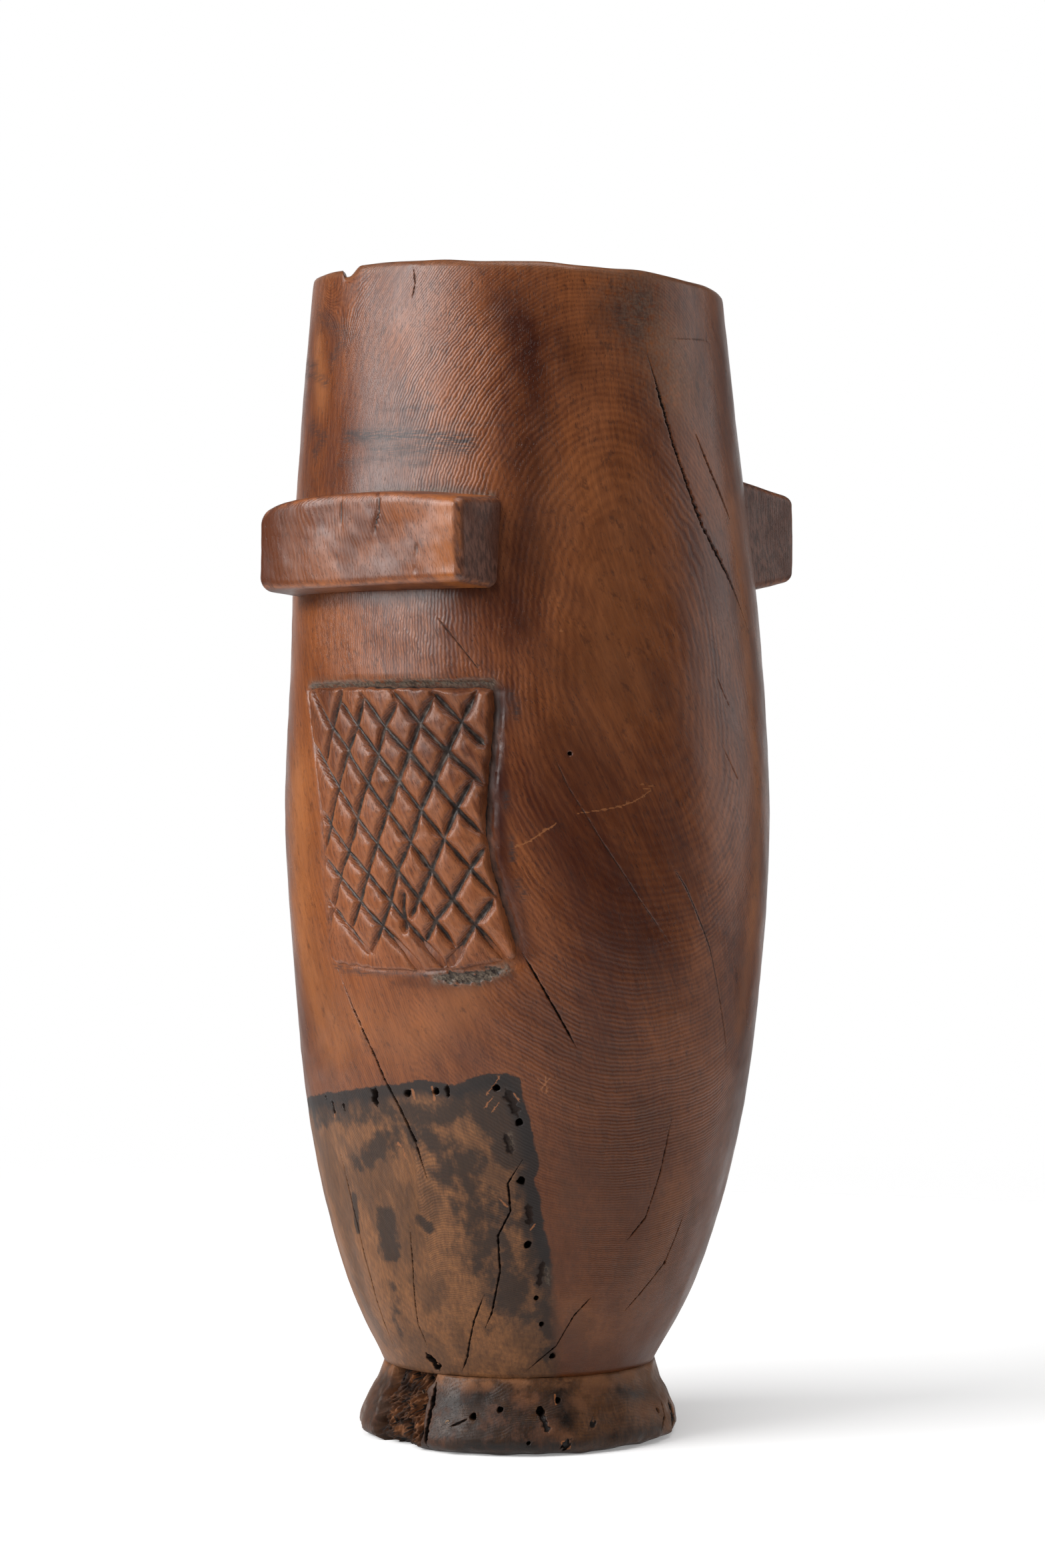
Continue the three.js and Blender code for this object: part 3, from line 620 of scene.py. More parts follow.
azimuth, run = flat_places(body_cells).T
outside_height = height_on_outside(run)
plain_radius = np.interp(run, body_run, body_section[:, 0])
plain_height = np.interp(run, body_run, body_section[:, 1])
plain_points = settled(azimuth, plain_radius, plain_height)
fine_uneven = waves(plain_points, 2.2, seed=4)
cuts = cut_relief(azimuth, outside_height, BODY_CUTS, body_radius, fine_uneven)
holes = hole_relief(azimuth, outside_height, BODY_HOLES, 6, body_radius, fine_uneven)
field = np.zeros(len(run))
for panel in (NEAR_PANEL, FAR_PANEL):
    _, edge = panel_edge(panel, azimuth, outside_height)
    _, up = panel_plane(panel, azimuth, outside_height)
    deep = 0.25 + 0.75 * smoothstep(1, 12, up)
    field = np.maximum(field, deep * smoothstep(-0.9, 1.3, edge + 0.05 * fine_uneven))
hand_work = 0.3 * waves(plain_points, 60, seed=1) + 0.05 * waves(plain_points, 15, seed=2)
tool_marks = 0.03 * waves(plain_points * [0.25, 0.25, 1], 4.5, seed=3)
on_outside = smoothstep(run_at_waist, run_at_waist + 6, run)
relief = on_outside * (hand_work + tool_marks) - np.maximum(cuts, holes) - FIELD_DEPTH * field
notch_arc = np.radians(azimuth - notch_azimuth) * RIM_RADIUS + NOTCH_SLANT * (RIM_RADIUS - plain_radius)
steep_side = np.exp(-((np.minimum(notch_arc, 0) / NOTCH_HALF_WIDTH) ** 4))
bite = np.where(notch_arc < 0, steep_side, smoothstep(NOTCH_RAMP, 0.5, notch_arc))
sunk = 0.3 * smoothstep(1, -3, notch_arc) * smoothstep(-40, -12, notch_arc)
notch = np.maximum(bite, sunk) * smoothstep(RIM_HEIGHT - 8, RIM_HEIGHT - 1, plain_height)
rim_wear = 0.25 * waves(plain_points, 26, seed=5) * smoothstep(RIM_HEIGHT - 5, RIM_HEIGHT, plain_height)
body_points = settled(azimuth, plain_radius + relief, plain_height - NOTCH_DEPTH * notch + rim_wear)

patch_outline = on_skin(PATCH_OUTLINE)
patch_outline = np.vstack([
    patch_outline, [patch_outline[-1, 0], -30], [PATCH_LEFT_AZIMUTH, -30],
    [PATCH_LEFT_AZIMUTH, patch_outline[0, 1] - 3],
])
stain = np.clip(outline_distance(azimuth, outside_height, patch_outline, arc_at(outside_height)), -40, 40)
at_lip = smoothstep(RIM_HEIGHT - 4, RIM_HEIGHT - 1.5, plain_height) * (run < run_at_lip + 9)
recess = np.clip(np.maximum(cuts / 0.4, holes / 1.5), 0, 1)
inside = smoothstep(run_at_lip + 6, run_at_lip + 30, run)
# The recess mask lays dirt and painted shade into cracks and holes, and more faintly over the sunken field
# round the panels
body = carved_piece("vessel_body_skin", body_cells, body_points, {
    "stain": stain, "recess": np.maximum(recess, 0.55 * field),
    "pale": pale_mask(azimuth, outside_height, PALE_MARKS), "worn": at_lip, "inside": inside,
    "fade": smoothstep(85, 45, outside_height), "dry": smoothstep(210, 60, outside_height),
    **{label: soft_places(azimuth, outside_height, places) for label, places in PLACES.items()},
})
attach(body, "root")
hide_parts("vessel_body")


def paint(red, green, blue):
    """A screen colour, 0 to 255, as the linear colour that a shader takes."""
    linear = [((c / 255 + 0.055) / 1.055) ** 2.4 if c > 10 else c / 255 / 12.92 for c in (red, green, blue)]
    return (*linear, 1)


def fill_sockets(tree, made, inputs):
    """Sets a node's sockets to values, or links them to sockets of other nodes."""
    for socket, value in inputs.items():
        if isinstance(value, bpy.types.NodeSocket):
            tree.links.new(value, made.inputs[socket])
        else:
            made.inputs[socket].default_value = value


def add_node(tree, kind, inputs=None, **settings):
    made = tree.nodes.new("ShaderNode" + kind)
    for setting, value in settings.items():
        setattr(made, setting, value)
    fill_sockets(tree, made, inputs or {})
    return made


def math_node(tree, operation, first, second=0.0):
    return add_node(tree, "Math", {0: first, 1: second}, operation=operation).outputs[0]


def times(tree, first, second):
    return math_node(tree, "MULTIPLY", first, second)


def plus(tree, first, second):
    return math_node(tree, "ADD", first, second)


def centred(tree, noise, spread):
    """Noise moved to lie round 0 and widened."""
    return times(tree, math_node(tree, "SUBTRACT", noise, 0.5), spread)


def ranged(tree, value, low, high, to_low=0.0, to_high=1.0):
    """A value mapped from one range to another and held inside it."""
    sockets = {"Value": value, "From Min": low, "From Max": high, "To Min": to_low, "To Max": to_high}
    return add_node(tree, "MapRange", sockets, interpolation_type="SMOOTHSTEP").outputs[0]


def noise_node(tree, vector, scale, detail=2.0, roughness=0.5):
    """Noise in a space stretched by a scale for each axis."""
    stretched = add_node(tree, "VectorMath", {0: vector, 1: scale}, operation="MULTIPLY").outputs[0]
    sockets = {"Vector": stretched, "Scale": 1.0, "Detail": detail, "Roughness": roughness}
    return add_node(tree, "TexNoise", sockets).outputs[0]


def patches(tree, vector, scale, grain, low, high, to_low=0.0, to_high=1.0):
    """A mask of uneven patches: noise of a given detail and roughness, mapped to a range."""
    return ranged(tree, noise_node(tree, vector, scale, *grain), low, high, to_low, to_high)


def blend_colours(tree, share, first, second):
    return add_node(tree, "Mix", {0: share, 6: first, 7: second}, data_type="RGBA").outputs[2]


def tinted(tree, colour, share, *shade):
    """A colour with a share of a screen colour laid over it."""
    return blend_colours(tree, share, colour, paint(*shade))


def new_group(name, inputs, outputs):
    """An empty shader group with named inputs, each with its first value, and named outputs."""
    group = bpy.data.node_groups.new(name, "ShaderNodeTree")
    kinds = {float: "NodeSocketFloat", tuple: "NodeSocketColor", type(None): "NodeSocketVector"}
    for socket, value in inputs.items():
        made = group.interface.new_socket(name=socket, in_out="INPUT", socket_type=kinds[type(value)])
        if value is not None:
            made.default_value = value
    for socket, kind in outputs.items():
        group.interface.new_socket(name=socket, in_out="OUTPUT", socket_type=kinds[kind])
    return group, group.nodes.new("NodeGroupInput").outputs, group.nodes.new("NodeGroupOutput").inputs


def use_group(tree, group, inputs):
    """Places a group in a material with values or links of its own."""
    return add_node(tree, "Group", inputs, node_tree=group).outputs


# Wood figure: wavy growth rings, streaks and open pores along the fibres, and their fine relief
wood_figure, given, result = new_group(
    "wood_figure",
    {"Growth": 0.0, "Fibre": None, "Slant": 1.0, "Ring Spacing": 0.5, "Waver": 1.0, "Contrast": 0.6},
    {"Rings": float, "Streaks": float, "Pores": float, "Relief": float},
)
slow = noise_node(wood_figure, given["Fibre"], (0.03, 0.03, 0.012), 1.0)
quick = noise_node(wood_figure, given["Fibre"], (0.4, 0.4, 0.32), 2.0)
waver = plus(wood_figure, centred(wood_figure, slow, 0.8), centred(wood_figure, quick, 0.38))
waver = times(wood_figure, waver, given["Waver"])
waver = times(wood_figure, waver, ranged(wood_figure, given["Slant"], 0.0, 0.35, 0.12, 1.0))
ring_place = plus(wood_figure, given["Growth"], waver)
ring_count = math_node(wood_figure, "DIVIDE", ring_place, given["Ring Spacing"])
ring_wave = math_node(wood_figure, "SINE", times(wood_figure, ring_count, 2 * math.pi))
broad_wave = math_node(wood_figure, "SINE", times(wood_figure, ring_count, 2 * math.pi / 4.3))
strength = patches(wood_figure, given["Fibre"], (0.045, 0.045, 0.025), (2.0, 0.5), 0.3, 0.52, 0.4, 1.0)
strength = times(wood_figure, strength, given["Contrast"])
strength = times(wood_figure, strength, ranged(wood_figure, given["Slant"], 0.0, 0.08, 0.35, 1.0))
ring_mix = plus(wood_figure, ring_wave, times(wood_figure, broad_wave, 0.5))
rings = times(wood_figure, times(wood_figure, ring_mix, strength), 0.3)
rings = plus(wood_figure, rings, 0.5)
streaks = noise_node(wood_figure, given["Fibre"], (0.9, 0.9, 0.06), 4.0, 0.62)
pores = patches(wood_figure, given["Fibre"], (3.0, 3.0, 0.45), (1.0, 0.5), 0.62, 0.68)
carved_relief = plus(wood_figure, rings, times(wood_figure, streaks, 0.5))
carved_relief = plus(wood_figure, carved_relief, times(wood_figure, pores, -0.4))
for socket, value in (("Rings", rings), ("Streaks", streaks), ("Pores", pores), ("Relief", carved_relief)):
    wood_figure.links.new(value, result[socket])

# Wood colour: dark and light wood mixed by the figure and by broad clouds of handling
wood_colour, given, result = new_group(
    "wood_colour",
    {"Fibre": None, "Rings": 0.5, "Streaks": 0.5, "Pores": 0.0, "Deep": paint(72, 32, 15),
     "Warm": paint(136, 78, 42), "Pore": paint(34, 17, 11), "Cloud": 0.5},
    {"Color": tuple},
)
cloud = patches(wood_colour, given["Fibre"], (0.022, 0.022, 0.012), (3.0, 0.55), 0.32, 0.68)
share = times(wood_colour, cloud, given["Cloud"])
share = plus(wood_colour, share, times(wood_colour, given["Rings"], 0.65))
share = plus(wood_colour, share, centred(wood_colour, given["Streaks"], 1.0))
colour = blend_colours(wood_colour, ranged(wood_colour, share, 0.0, 1.25), given["Deep"], given["Warm"])
colour = blend_colours(wood_colour, times(wood_colour, given["Pores"], 0.55), colour, given["Pore"])
wood_colour.links.new(colour, result["Color"])

# Grime and shade: dark colour that fills recesses with a broken edge, partly dirt and partly painted shade
grime_and_shade, given, result = new_group(
    "grime_and_shade",
    {"Color": paint(120, 70, 45), "Fibre": None, "Recess": 0.0, "Dirt and Shade": paint(30, 19, 14), "Reach": 0.5},
    {"Color": tuple, "Mask": float},
)
crumbs = noise_node(grime_and_shade, given["Fibre"], (0.37, 0.41, 0.33), 6.0, 0.75)
filled = plus(grime_and_shade, given["Recess"], centred(grime_and_shade, crumbs, 0.5))
dirt_and_shade_mask = ranged(grime_and_shade, filled, math_node(grime_and_shade, "SUBTRACT", 0.75, given["Reach"]), 0.75)
grime_and_shade.links.new(blend_colours(grime_and_shade, dirt_and_shade_mask, given["Color"], given["Dirt and Shade"]), result["Color"])
grime_and_shade.links.new(dirt_and_shade_mask, result["Mask"])


def new_material(name):
    """A material with its node tree and its Principled shader."""
    material = bpy.data.materials.new(name)
    material.use_nodes = True
    tree = material.node_tree
    return material, tree, next(made for made in tree.nodes if made.type == "BSDF_PRINCIPLED")


def fibre_place(tree):
    """Each point's place among the fibres, from the mesh."""
    return add_node(tree, "Attribute", attribute_name="fibre").outputs["Vector"]


def mask_of(tree, label):
    return add_node(tree, "Attribute", attribute_name=label).outputs["Fac"]


def grained_wood(tree, fibre, ring_spacing, waver, contrast, **shades):
    """The log's figure, and the bare wood's colour with it."""
    figure = use_group(tree, wood_figure, {
        "Growth": mask_of(tree, "growth"), "Slant": mask_of(tree, "slant"), "Fibre": fibre,
        "Ring Spacing": ring_spacing, "Waver": waver, "Contrast": contrast,
    })
    drawn = {label: figure[label] for label in ("Rings", "Streaks", "Pores")}
    return figure, use_group(tree, wood_colour, {"Fibre": fibre, **drawn, **shades})["Color"]


def relief_normal(tree, height, depth, strength=1.0):
    """Fine relief of a depth in metres."""
    bump = add_node(tree, "Bump", {"Height": height, "Distance": depth, "Strength": strength})
    return bump.outputs["Normal"]


def with_shares(tree, value, shares):
    """A value with a share of each of some others added to it."""
    for other, share in shares:
        value = plus(tree, value, times(tree, other, share))
    return value


# Patinated hardwood of the body, with the stain of the lost patch
material, tree, shader = new_material("patinated_hardwood")
fibre = fibre_place(tree)
ripple, dry, fade = (mask_of(tree, label) for label in ("ripple", "dry", "fade"))
figure, colour = grained_wood(tree, fibre, 0.3, 1.0, ranged(tree, ripple, 0.0, 0.9, 0.5, 1.15))
patchy = patches(tree, fibre, (0.07, 0.07, 0.05), (4.0, 0.6), 0.3, 0.65, 0.6, 1.0)
# Darker places: own tone, with painted shade under the rim, round the near lug, by the panel and across the
# front
colour = tinted(tree, colour, times(tree, mask_of(tree, "dark"), patchy), 48, 16, 7)
# Lighter places, among them painted light on the lit left side and a painted highlight along the right edge
colour = tinted(tree, colour, times(tree, mask_of(tree, "light"), patchy), 172, 108, 62)
flecks = patches(tree, fibre, (0.3, 0.3, 0.22), (6.0, 0.72), 0.54, 0.68, 0.0, 0.5)
colour = tinted(tree, colour, flecks, 50, 28, 22)
rubbed = patches(tree, fibre, (0.2, 0.2, 1.6), (4.0, 0.65), 0.36, 0.54)
smudged = times(tree, mask_of(tree, "smudge"), rubbed)
colour = tinted(tree, colour, smudged, 42, 32, 31)
mottled = noise_node(tree, fibre, (0.1, 0.1, 0.05), 5.0, 0.68)
colour = tinted(tree, colour, times(tree, dry, ranged(tree, mottled, 0.46, 0.62, 0.0, 0.6)), 58, 34, 18)
colour = tinted(tree, colour, times(tree, dry, ranged(tree, mottled, 0.3, 0.6, 0.9, 0.6)), 70, 33, 5)
stain_noise = noise_node(tree, fibre, (0.25, 0.25, 0.25), 4.0, 0.6)
stain_edge = plus(tree, mask_of(tree, "stain"), centred(tree, stain_noise, 3.0))
stained = ranged(tree, stain_edge, -0.3, plus(tree, times(tree, fade, 6.0), 0.5))
light_and_dark = ranged(tree, figure["Streaks"], 0.2, 0.8)
stain_wood = blend_colours(tree, light_and_dark, paint(90, 57, 34), paint(128, 84, 49))
stain_wood = tinted(tree, stain_wood, ranged(tree, figure["Rings"], 0.3, 0.75, 0.0, 0.34), 50, 34, 24)
soft_blotch = patches(tree, fibre, (0.045, 0.045, 0.03), (3.0, 0.6), 0.46, 0.58, 0.0, 0.5)
blotch_noise = noise_node(tree, fibre, (0.16, 0.16, 0.12), 5.0, 0.65)
blotch_edge = plus(tree, mask_of(tree, "blotch"), centred(tree, blotch_noise, 1.8))
blotch = math_node(tree, "MAXIMUM", soft_blotch, ranged(tree, blotch_edge, 0.2, 0.75))
stain_wood = tinted(tree, stain_wood, times(tree, blotch, 0.88), 30, 21, 16)
edge_band = times(tree, ranged(tree, stain_edge, 3.0, 9.0, 1.0, 0.0), ranged(tree, fade, 0.0, 1.0, 0.95, 0.5))
stain_wood = tinted(tree, stain_wood, edge_band, 26, 19, 17)
colour = blend_colours(tree, stained, colour, stain_wood)
ragged = noise_node(tree, fibre, (1.1, 1.1, 0.8), 3.0, 0.6)
raw = plus(tree, mask_of(tree, "pale"), centred(tree, ragged, 1.0))
colour = tinted(tree, colour, ranged(tree, raw, 0.3, 0.75, 0.0, 0.8), 132, 82, 48)
colour = tinted(tree, colour, times(tree, mask_of(tree, "worn"), 0.3), 120, 84, 58)
colour = tinted(tree, colour, mask_of(tree, "inside"), 44, 27, 19)
# Dirt and painted shade in the cracks, holes and field
dirty_and_shaded = use_group(tree, grime_and_shade, {"Color": colour, "Fibre": fibre, "Recess": mask_of(tree, "recess")})
crumbled = patches(tree, fibre, (0.5, 0.5, 0.5), (4.0, 0.65), 0.36, 0.52)
dusted = times(tree, mask_of(tree, "dust"), crumbled)
dust = blend_colours(tree, ranged(tree, ragged, 0.4, 0.6), paint(62, 53, 45), paint(100, 87, 74))
gloss = patches(tree, fibre, (0.08, 0.08, 0.04), (3.0, 0.5), 0.3, 0.7, 0.24, 0.38)
gloss = with_shares(tree, gloss, [
    (stained, 0.18), (dusted, 0.4), (smudged, 0.2), (dry, 0.1), (dirty_and_shaded["Mask"], 0.35),
    (mask_of(tree, "recess"), 0.3),
])
rippled = ranged(tree, ripple, 0.0, 0.9, 0.45, 1.0)
fill_sockets(tree, shader, {
    "Base Color": blend_colours(tree, dusted, dirty_and_shaded["Color"], dust), "Roughness": gloss,
    "Specular IOR Level": 0.26, "Coat Weight": ranged(tree, dry, 0.0, 1.0, 0.3, 0.0), "Coat Roughness": 0.32,
    "Normal": relief_normal(tree, figure["Relief"], 0.00017, rippled),
})
body.data.materials.append(material)

# Foot
# The flared foot is the same wood, worn grey-brown on the ground with painted shade there, and blackened
# under the lost patch.
# A stretch below the near lug has rotted away to open fibres. Nails of the patch left their holes.
FOOT_LINE = [(56.5, 0), (60.3, 2.2), (61, 5), (59.7, 9.6), (56.7, 16.5), (54.2, 21.4), (52, 27.9)]
FOOT_HEIGHT = 27.9
ROT_AZIMUTH = 168.5
ROT_HALF_WIDTH = 14.5
ROT_DEPTH = 5.2
ROT_RADIUS = 57
FOOT_HOLES = {
    "front 1": (710, 2125, 1.2), "front 2": (750, 2115, 1.1), "front 3": (812, 2118, 1.7),
    "front 4": (837, 2100, 1.1), "right 1": (986, 2115, 1.0), "low": (793, 2165, 0.7),
}
FOOT_CUTS = {
    "fissure": (1.6, 4, [(655, 2074), (648, 2100), (643, 2125), (640, 2150), (641, 2171)]),
    "rot slit": (1.2, 3, [(596, 2056), (592, 2075)]),
    "peg crack": (0.7, 1, [(675, 2140), (690, 2134), (702, 2128)]),
    "rough pit": (4.5, 1.6, [(845, 2164), (855, 2172)]),
    "front dent": (4, 0.7, [(886, 2134), (896, 2140)]),
    "fibrous tail": (2.2, 1.2, [(812, 2118), (818, 2136), (823, 2150)]),
    "right crack": (0.9, 2, [(990, 2100), (996, 2118), (991, 2145)]),
    "sole chip": (3.5, 1.5, [(1003, 2100), (1010, 2120), (1004, 2146)]),
}
FOOT_PALE = {
    "raw pit": (2.4, [(846, 2165), (853, 2171)]),
    "raw chip": (2.5, [(1006, 2095), (1010, 2125)]),
    "sliver": (0.9, [(832, 2092), (834, 2106)]),
    "splintered edge": (1.6, [(607, 2052), (604, 2066), (601, 2080)]),
}
FOOT_CHARRED_AND_SHADED = {
    "behind holes": (9, 1.0, [(845, 2062), (842, 2090), (850, 2130)]),
    "top edge": (5, 0.8, [(700, 2082), (780, 2076), (850, 2066)]),
    "by the fissure": (7, 0.7, [(668, 2110), (690, 2100), (730, 2090)]),
    # Along the ground: painted shade where the foot meets the floor
    "along the ground": (5, 1.0, [(700, 2170), (860, 2168), (930, 2156), (990, 2142)]),
    "right": (6, 0.8, [(930, 2086), (985, 2096)]),
}
FOOT_BROWN = {
    "top left": (4, 0.45, [(668, 2080), (730, 2079)]),
    "top centre": (5, 0.6, [(776, 2092), (800, 2100)]),
    "right of the holes": (10, 0.5, [(872, 2100), (910, 2084)]),
    "low centre": (5, 0.4, [(822, 2146), (850, 2150)]),
    "right edge": (6, 0.4, [(960, 2120), (1000, 2090)]),
}
foot_line = smooth_line(FOOT_LINE, 12)


def foot_radius(height):
    return np.interp(height, foot_line[:, 1], foot_line[:, 0])


foot_section = np.vstack([[(0, 0)], foot_line, [(0, FOOT_HEIGHT)]])
foot_run = np.concatenate([[0], np.cumsum(np.hypot(*np.diff(foot_section, axis=0).T))])
sole_run = float(foot_run[1])
top_run = float(foot_run[-2])
foot_rows = np.concatenate([
    [0, 20, 40, sole_run - 3], np.linspace(sole_run, top_run, 26), [top_run + 1, top_run + 20, foot_run[-1]],
])
foot_cells = cell_grid(ring_columns(1.2, 2.5), foot_rows)
rot_arc = math.radians(1) * ROT_RADIUS


def foot_height_at(run):
    height = np.interp(run, foot_run, foot_section[:, 1])
    off_side = (run < sole_run - 4) | (run > top_run + 0.5)
    return np.where(off_side, OUT_OF_REACH, height)


def foot_detail(azimuth, run):
    """Distance in mm to the nearest hole, crack or rotted fibre of the foot."""
    height = foot_height_at(run)
    near = nearest_feature(azimuth, height, FOOT_CUTS, FOOT_HOLES, FOOT_PALE, foot_radius)
    rotted = (np.abs(azimuth - ROT_AZIMUTH) - ROT_HALF_WIDTH) * rot_arc
    return np.where(height < OUT_OF_REACH, np.minimum(near, np.maximum(rotted, 0) + 0.9), near)


for reach in (3, 1.6, 0.7):
    halve_cells(foot_cells, foot_detail, reach)

azimuth, run = flat_places(foot_cells).T
plain_radius = np.interp(run, foot_run, foot_section[:, 0])
plain_height = np.interp(run, foot_run, foot_section[:, 1])
side_height = foot_height_at(run)
plain_points = settled(azimuth, plain_radius, plain_height)
fine_uneven = waves(plain_points, 1.8, seed=14)
cuts = cut_relief(azimuth, side_height, FOOT_CUTS, foot_radius, fine_uneven)
holes = hole_relief(azimuth, side_height, FOOT_HOLES, 5, foot_radius, fine_uneven)
on_side = (side_height < OUT_OF_REACH).astype(float)
arc_from_rot = (azimuth - ROT_AZIMUTH) * rot_arc
rot_reach = ROT_HALF_WIDTH * rot_arc + 1.6 * waves(plain_points, 9, seed=15)
rot = smoothstep(0, 2.4, rot_reach - np.abs(arc_from_rot)) * on_side
fibre_lines = arc_from_rot * 0.82 - side_height * 0.57
ridges = np.sin(fibre_lines * 2 * math.pi / 2.3 + 2.2 * waves(plain_points, 7, seed=16))
ridges += 0.7 * np.sin(fibre_lines * 2 * math.pi / 1.2 + 3 * waves(plain_points, 5, seed=17))
hollows = smoothstep(0.1, 1.3, waves(plain_points * [1, 1, 0.6], 6, seed=18))
rot_relief = rot * (ROT_DEPTH + 1.5 * waves(plain_points, 11, seed=19) + 1.0 * ridges + 3.5 * hollows)
hand_work = 0.35 * waves(plain_points, 22, seed=11) + 0.14 * waves(plain_points, 6, seed=12)
edge_wear = 0.5 * waves(plain_points, 9, seed=13) * smoothstep(6, 1, plain_height)
uneven = smoothstep(sole_run - 3, sole_run + 2, run) * on_side * (hand_work + edge_wear)
relief = uneven - np.maximum(np.maximum(cuts, holes), rot_relief)
foot_points = settled(azimuth, np.clip(plain_radius + relief, 0, None), plain_height)
foot_points[:, 2] += 0.25 * (1 + waves(plain_points, 16, seed=20)) * smoothstep(3, 0, plain_height)
# The recess mask lays dirt and painted shade into holes, cracks and the hollows of the rot
recess = np.clip(np.maximum(cuts / 0.9, holes / 1.5), 0, 1)
recess = np.maximum(recess, rot * np.clip(0.1 - 0.35 * ridges + 0.65 * hollows, 0, 1))
pale = pale_mask(azimuth, side_height, FOOT_PALE, foot_radius)
pale = np.maximum(pale, rot * 0.35 * np.clip(ridges, 0, 1))
blackened = smoothstep(8, -14, azimuth - 243) * smoothstep(120, 150, azimuth)
foot = carved_piece("foot_skin", foot_cells, foot_points, {
    "recess": recess, "pale": pale, "rot": rot, "blackened": blackened,
    "charred_and_shaded": soft_places(azimuth, side_height, FOOT_CHARRED_AND_SHADED, foot_radius),
    "brown": soft_places(azimuth, side_height, FOOT_BROWN, foot_radius),
    "worn": smoothstep(4.5, 1, plain_height) * on_side, "rubbed": smoothstep(22, 27, plain_height) * on_side,
})
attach(foot, "root")
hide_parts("foot")

material, tree, shader = new_material("weathered_foot_wood")
fibre = fibre_place(tree)
figure, colour = grained_wood(tree, fibre, 0.4, 0.7, 0.35, Deep=paint(54, 33, 19), Warm=paint(120, 78, 46))
mottled = noise_node(tree, fibre, (0.1, 0.1, 0.12), 5.0, 0.65)
smoked = blend_colours(tree, ranged(tree, mottled, 0.43, 0.6), paint(17, 12, 9), paint(72, 44, 28))
smoked = tinted(tree, smoked, ranged(tree, figure["Streaks"], 0.35, 0.65, 0.5, 0.0), 24, 17, 14)
smoked_share = times(tree, mask_of(tree, "blackened"), ranged(tree, mottled, 0.35, 0.55, 0.5, 1.0))
colour = blend_colours(tree, smoked_share, colour, smoked)
# Charred places, and painted shade along the ground
charred_and_shaded = times(tree, mask_of(tree, "charred_and_shaded"), ranged(tree, mottled, 0.36, 0.6, 1.0, 0.5))
colour = tinted(tree, colour, charred_and_shaded, 13, 10, 9)
browned = times(tree, mask_of(tree, "brown"), ranged(tree, mottled, 0.4, 0.56, 0.15, 0.9))
colour = tinted(tree, colour, browned, 110, 68, 40)
# The top band is lighter: partly rubbed wood, partly a painted highlight along the top edge
rubbed = times(tree, mask_of(tree, "rubbed"), ranged(tree, mottled, 0.36, 0.6, 0.2, 0.9))
colour = tinted(tree, colour, rubbed, 118, 76, 46)
rotten = blend_colours(tree, ranged(tree, mottled, 0.38, 0.62), paint(50, 30, 19), paint(116, 74, 45))
colour = blend_colours(tree, mask_of(tree, "rot"), colour, rotten)
# The bottom band: worn wood, and painted shade where the foot meets the floor
colour = tinted(tree, colour, times(tree, mask_of(tree, "worn"), 0.6), 36, 24, 18)
ragged = noise_node(tree, fibre, (0.9, 0.9, 0.7), 3.0, 0.6)
raw = plus(tree, mask_of(tree, "pale"), centred(tree, ragged, 1.0))
colour = tinted(tree, colour, ranged(tree, raw, 0.35, 0.85, 0.0, 0.65), 140, 84, 44)
# Dirt and painted shade in the holes, cracks and rot
dirty_and_shaded = use_group(tree, grime_and_shade, {
    "Color": colour, "Fibre": fibre, "Recess": mask_of(tree, "recess"), "Dirt and Shade": paint(22, 15, 12),
})
gloss = ranged(tree, mottled, 0.35, 0.65, 0.36, 0.58)
fill_sockets(tree, shader, {
    "Base Color": dirty_and_shaded["Color"], "Roughness": with_shares(tree, gloss, [(mask_of(tree, "rot"), 0.3)]),
    "Specular IOR Level": 0.25, "Normal": relief_normal(tree, figure["Relief"], 0.00017),
})
foot.data.materials.append(material)

# Broken pegs
# Two pegs of paler wood broke off in the foot: one in its front, and one deep in the rotted stretch.
# Each was driven in from outside and shows only a rough, splintered end.
PEG_RADIUS = 1.15
PEG_LENGTH = 10
PEG_SIDES = 28
PEGS = {"sole_peg": {"azimuth": 193.5, "height": 11.6, "recess": -0.2, "seed": 31},
        "notch_peg": {"azimuth": 174, "height": 20, "recess": 4, "seed": 32}}

peg_wood, tree, shader = new_material("pale_peg_wood")
fibre = fibre_place(tree)
speckle = noise_node(tree, fibre, (3, 3, 3), 3.0, 0.6)
colour = blend_colours(tree, ranged(tree, speckle, 0.35, 0.65), paint(118, 88, 66), paint(164, 134, 106))
fill_sockets(tree, shader, {
    "Base Color": tinted(tree, colour, mask_of(tree, "recess"), 46, 32, 24), "Roughness": 0.8,
    "Normal": relief_normal(tree, speckle, 0.0002),
})


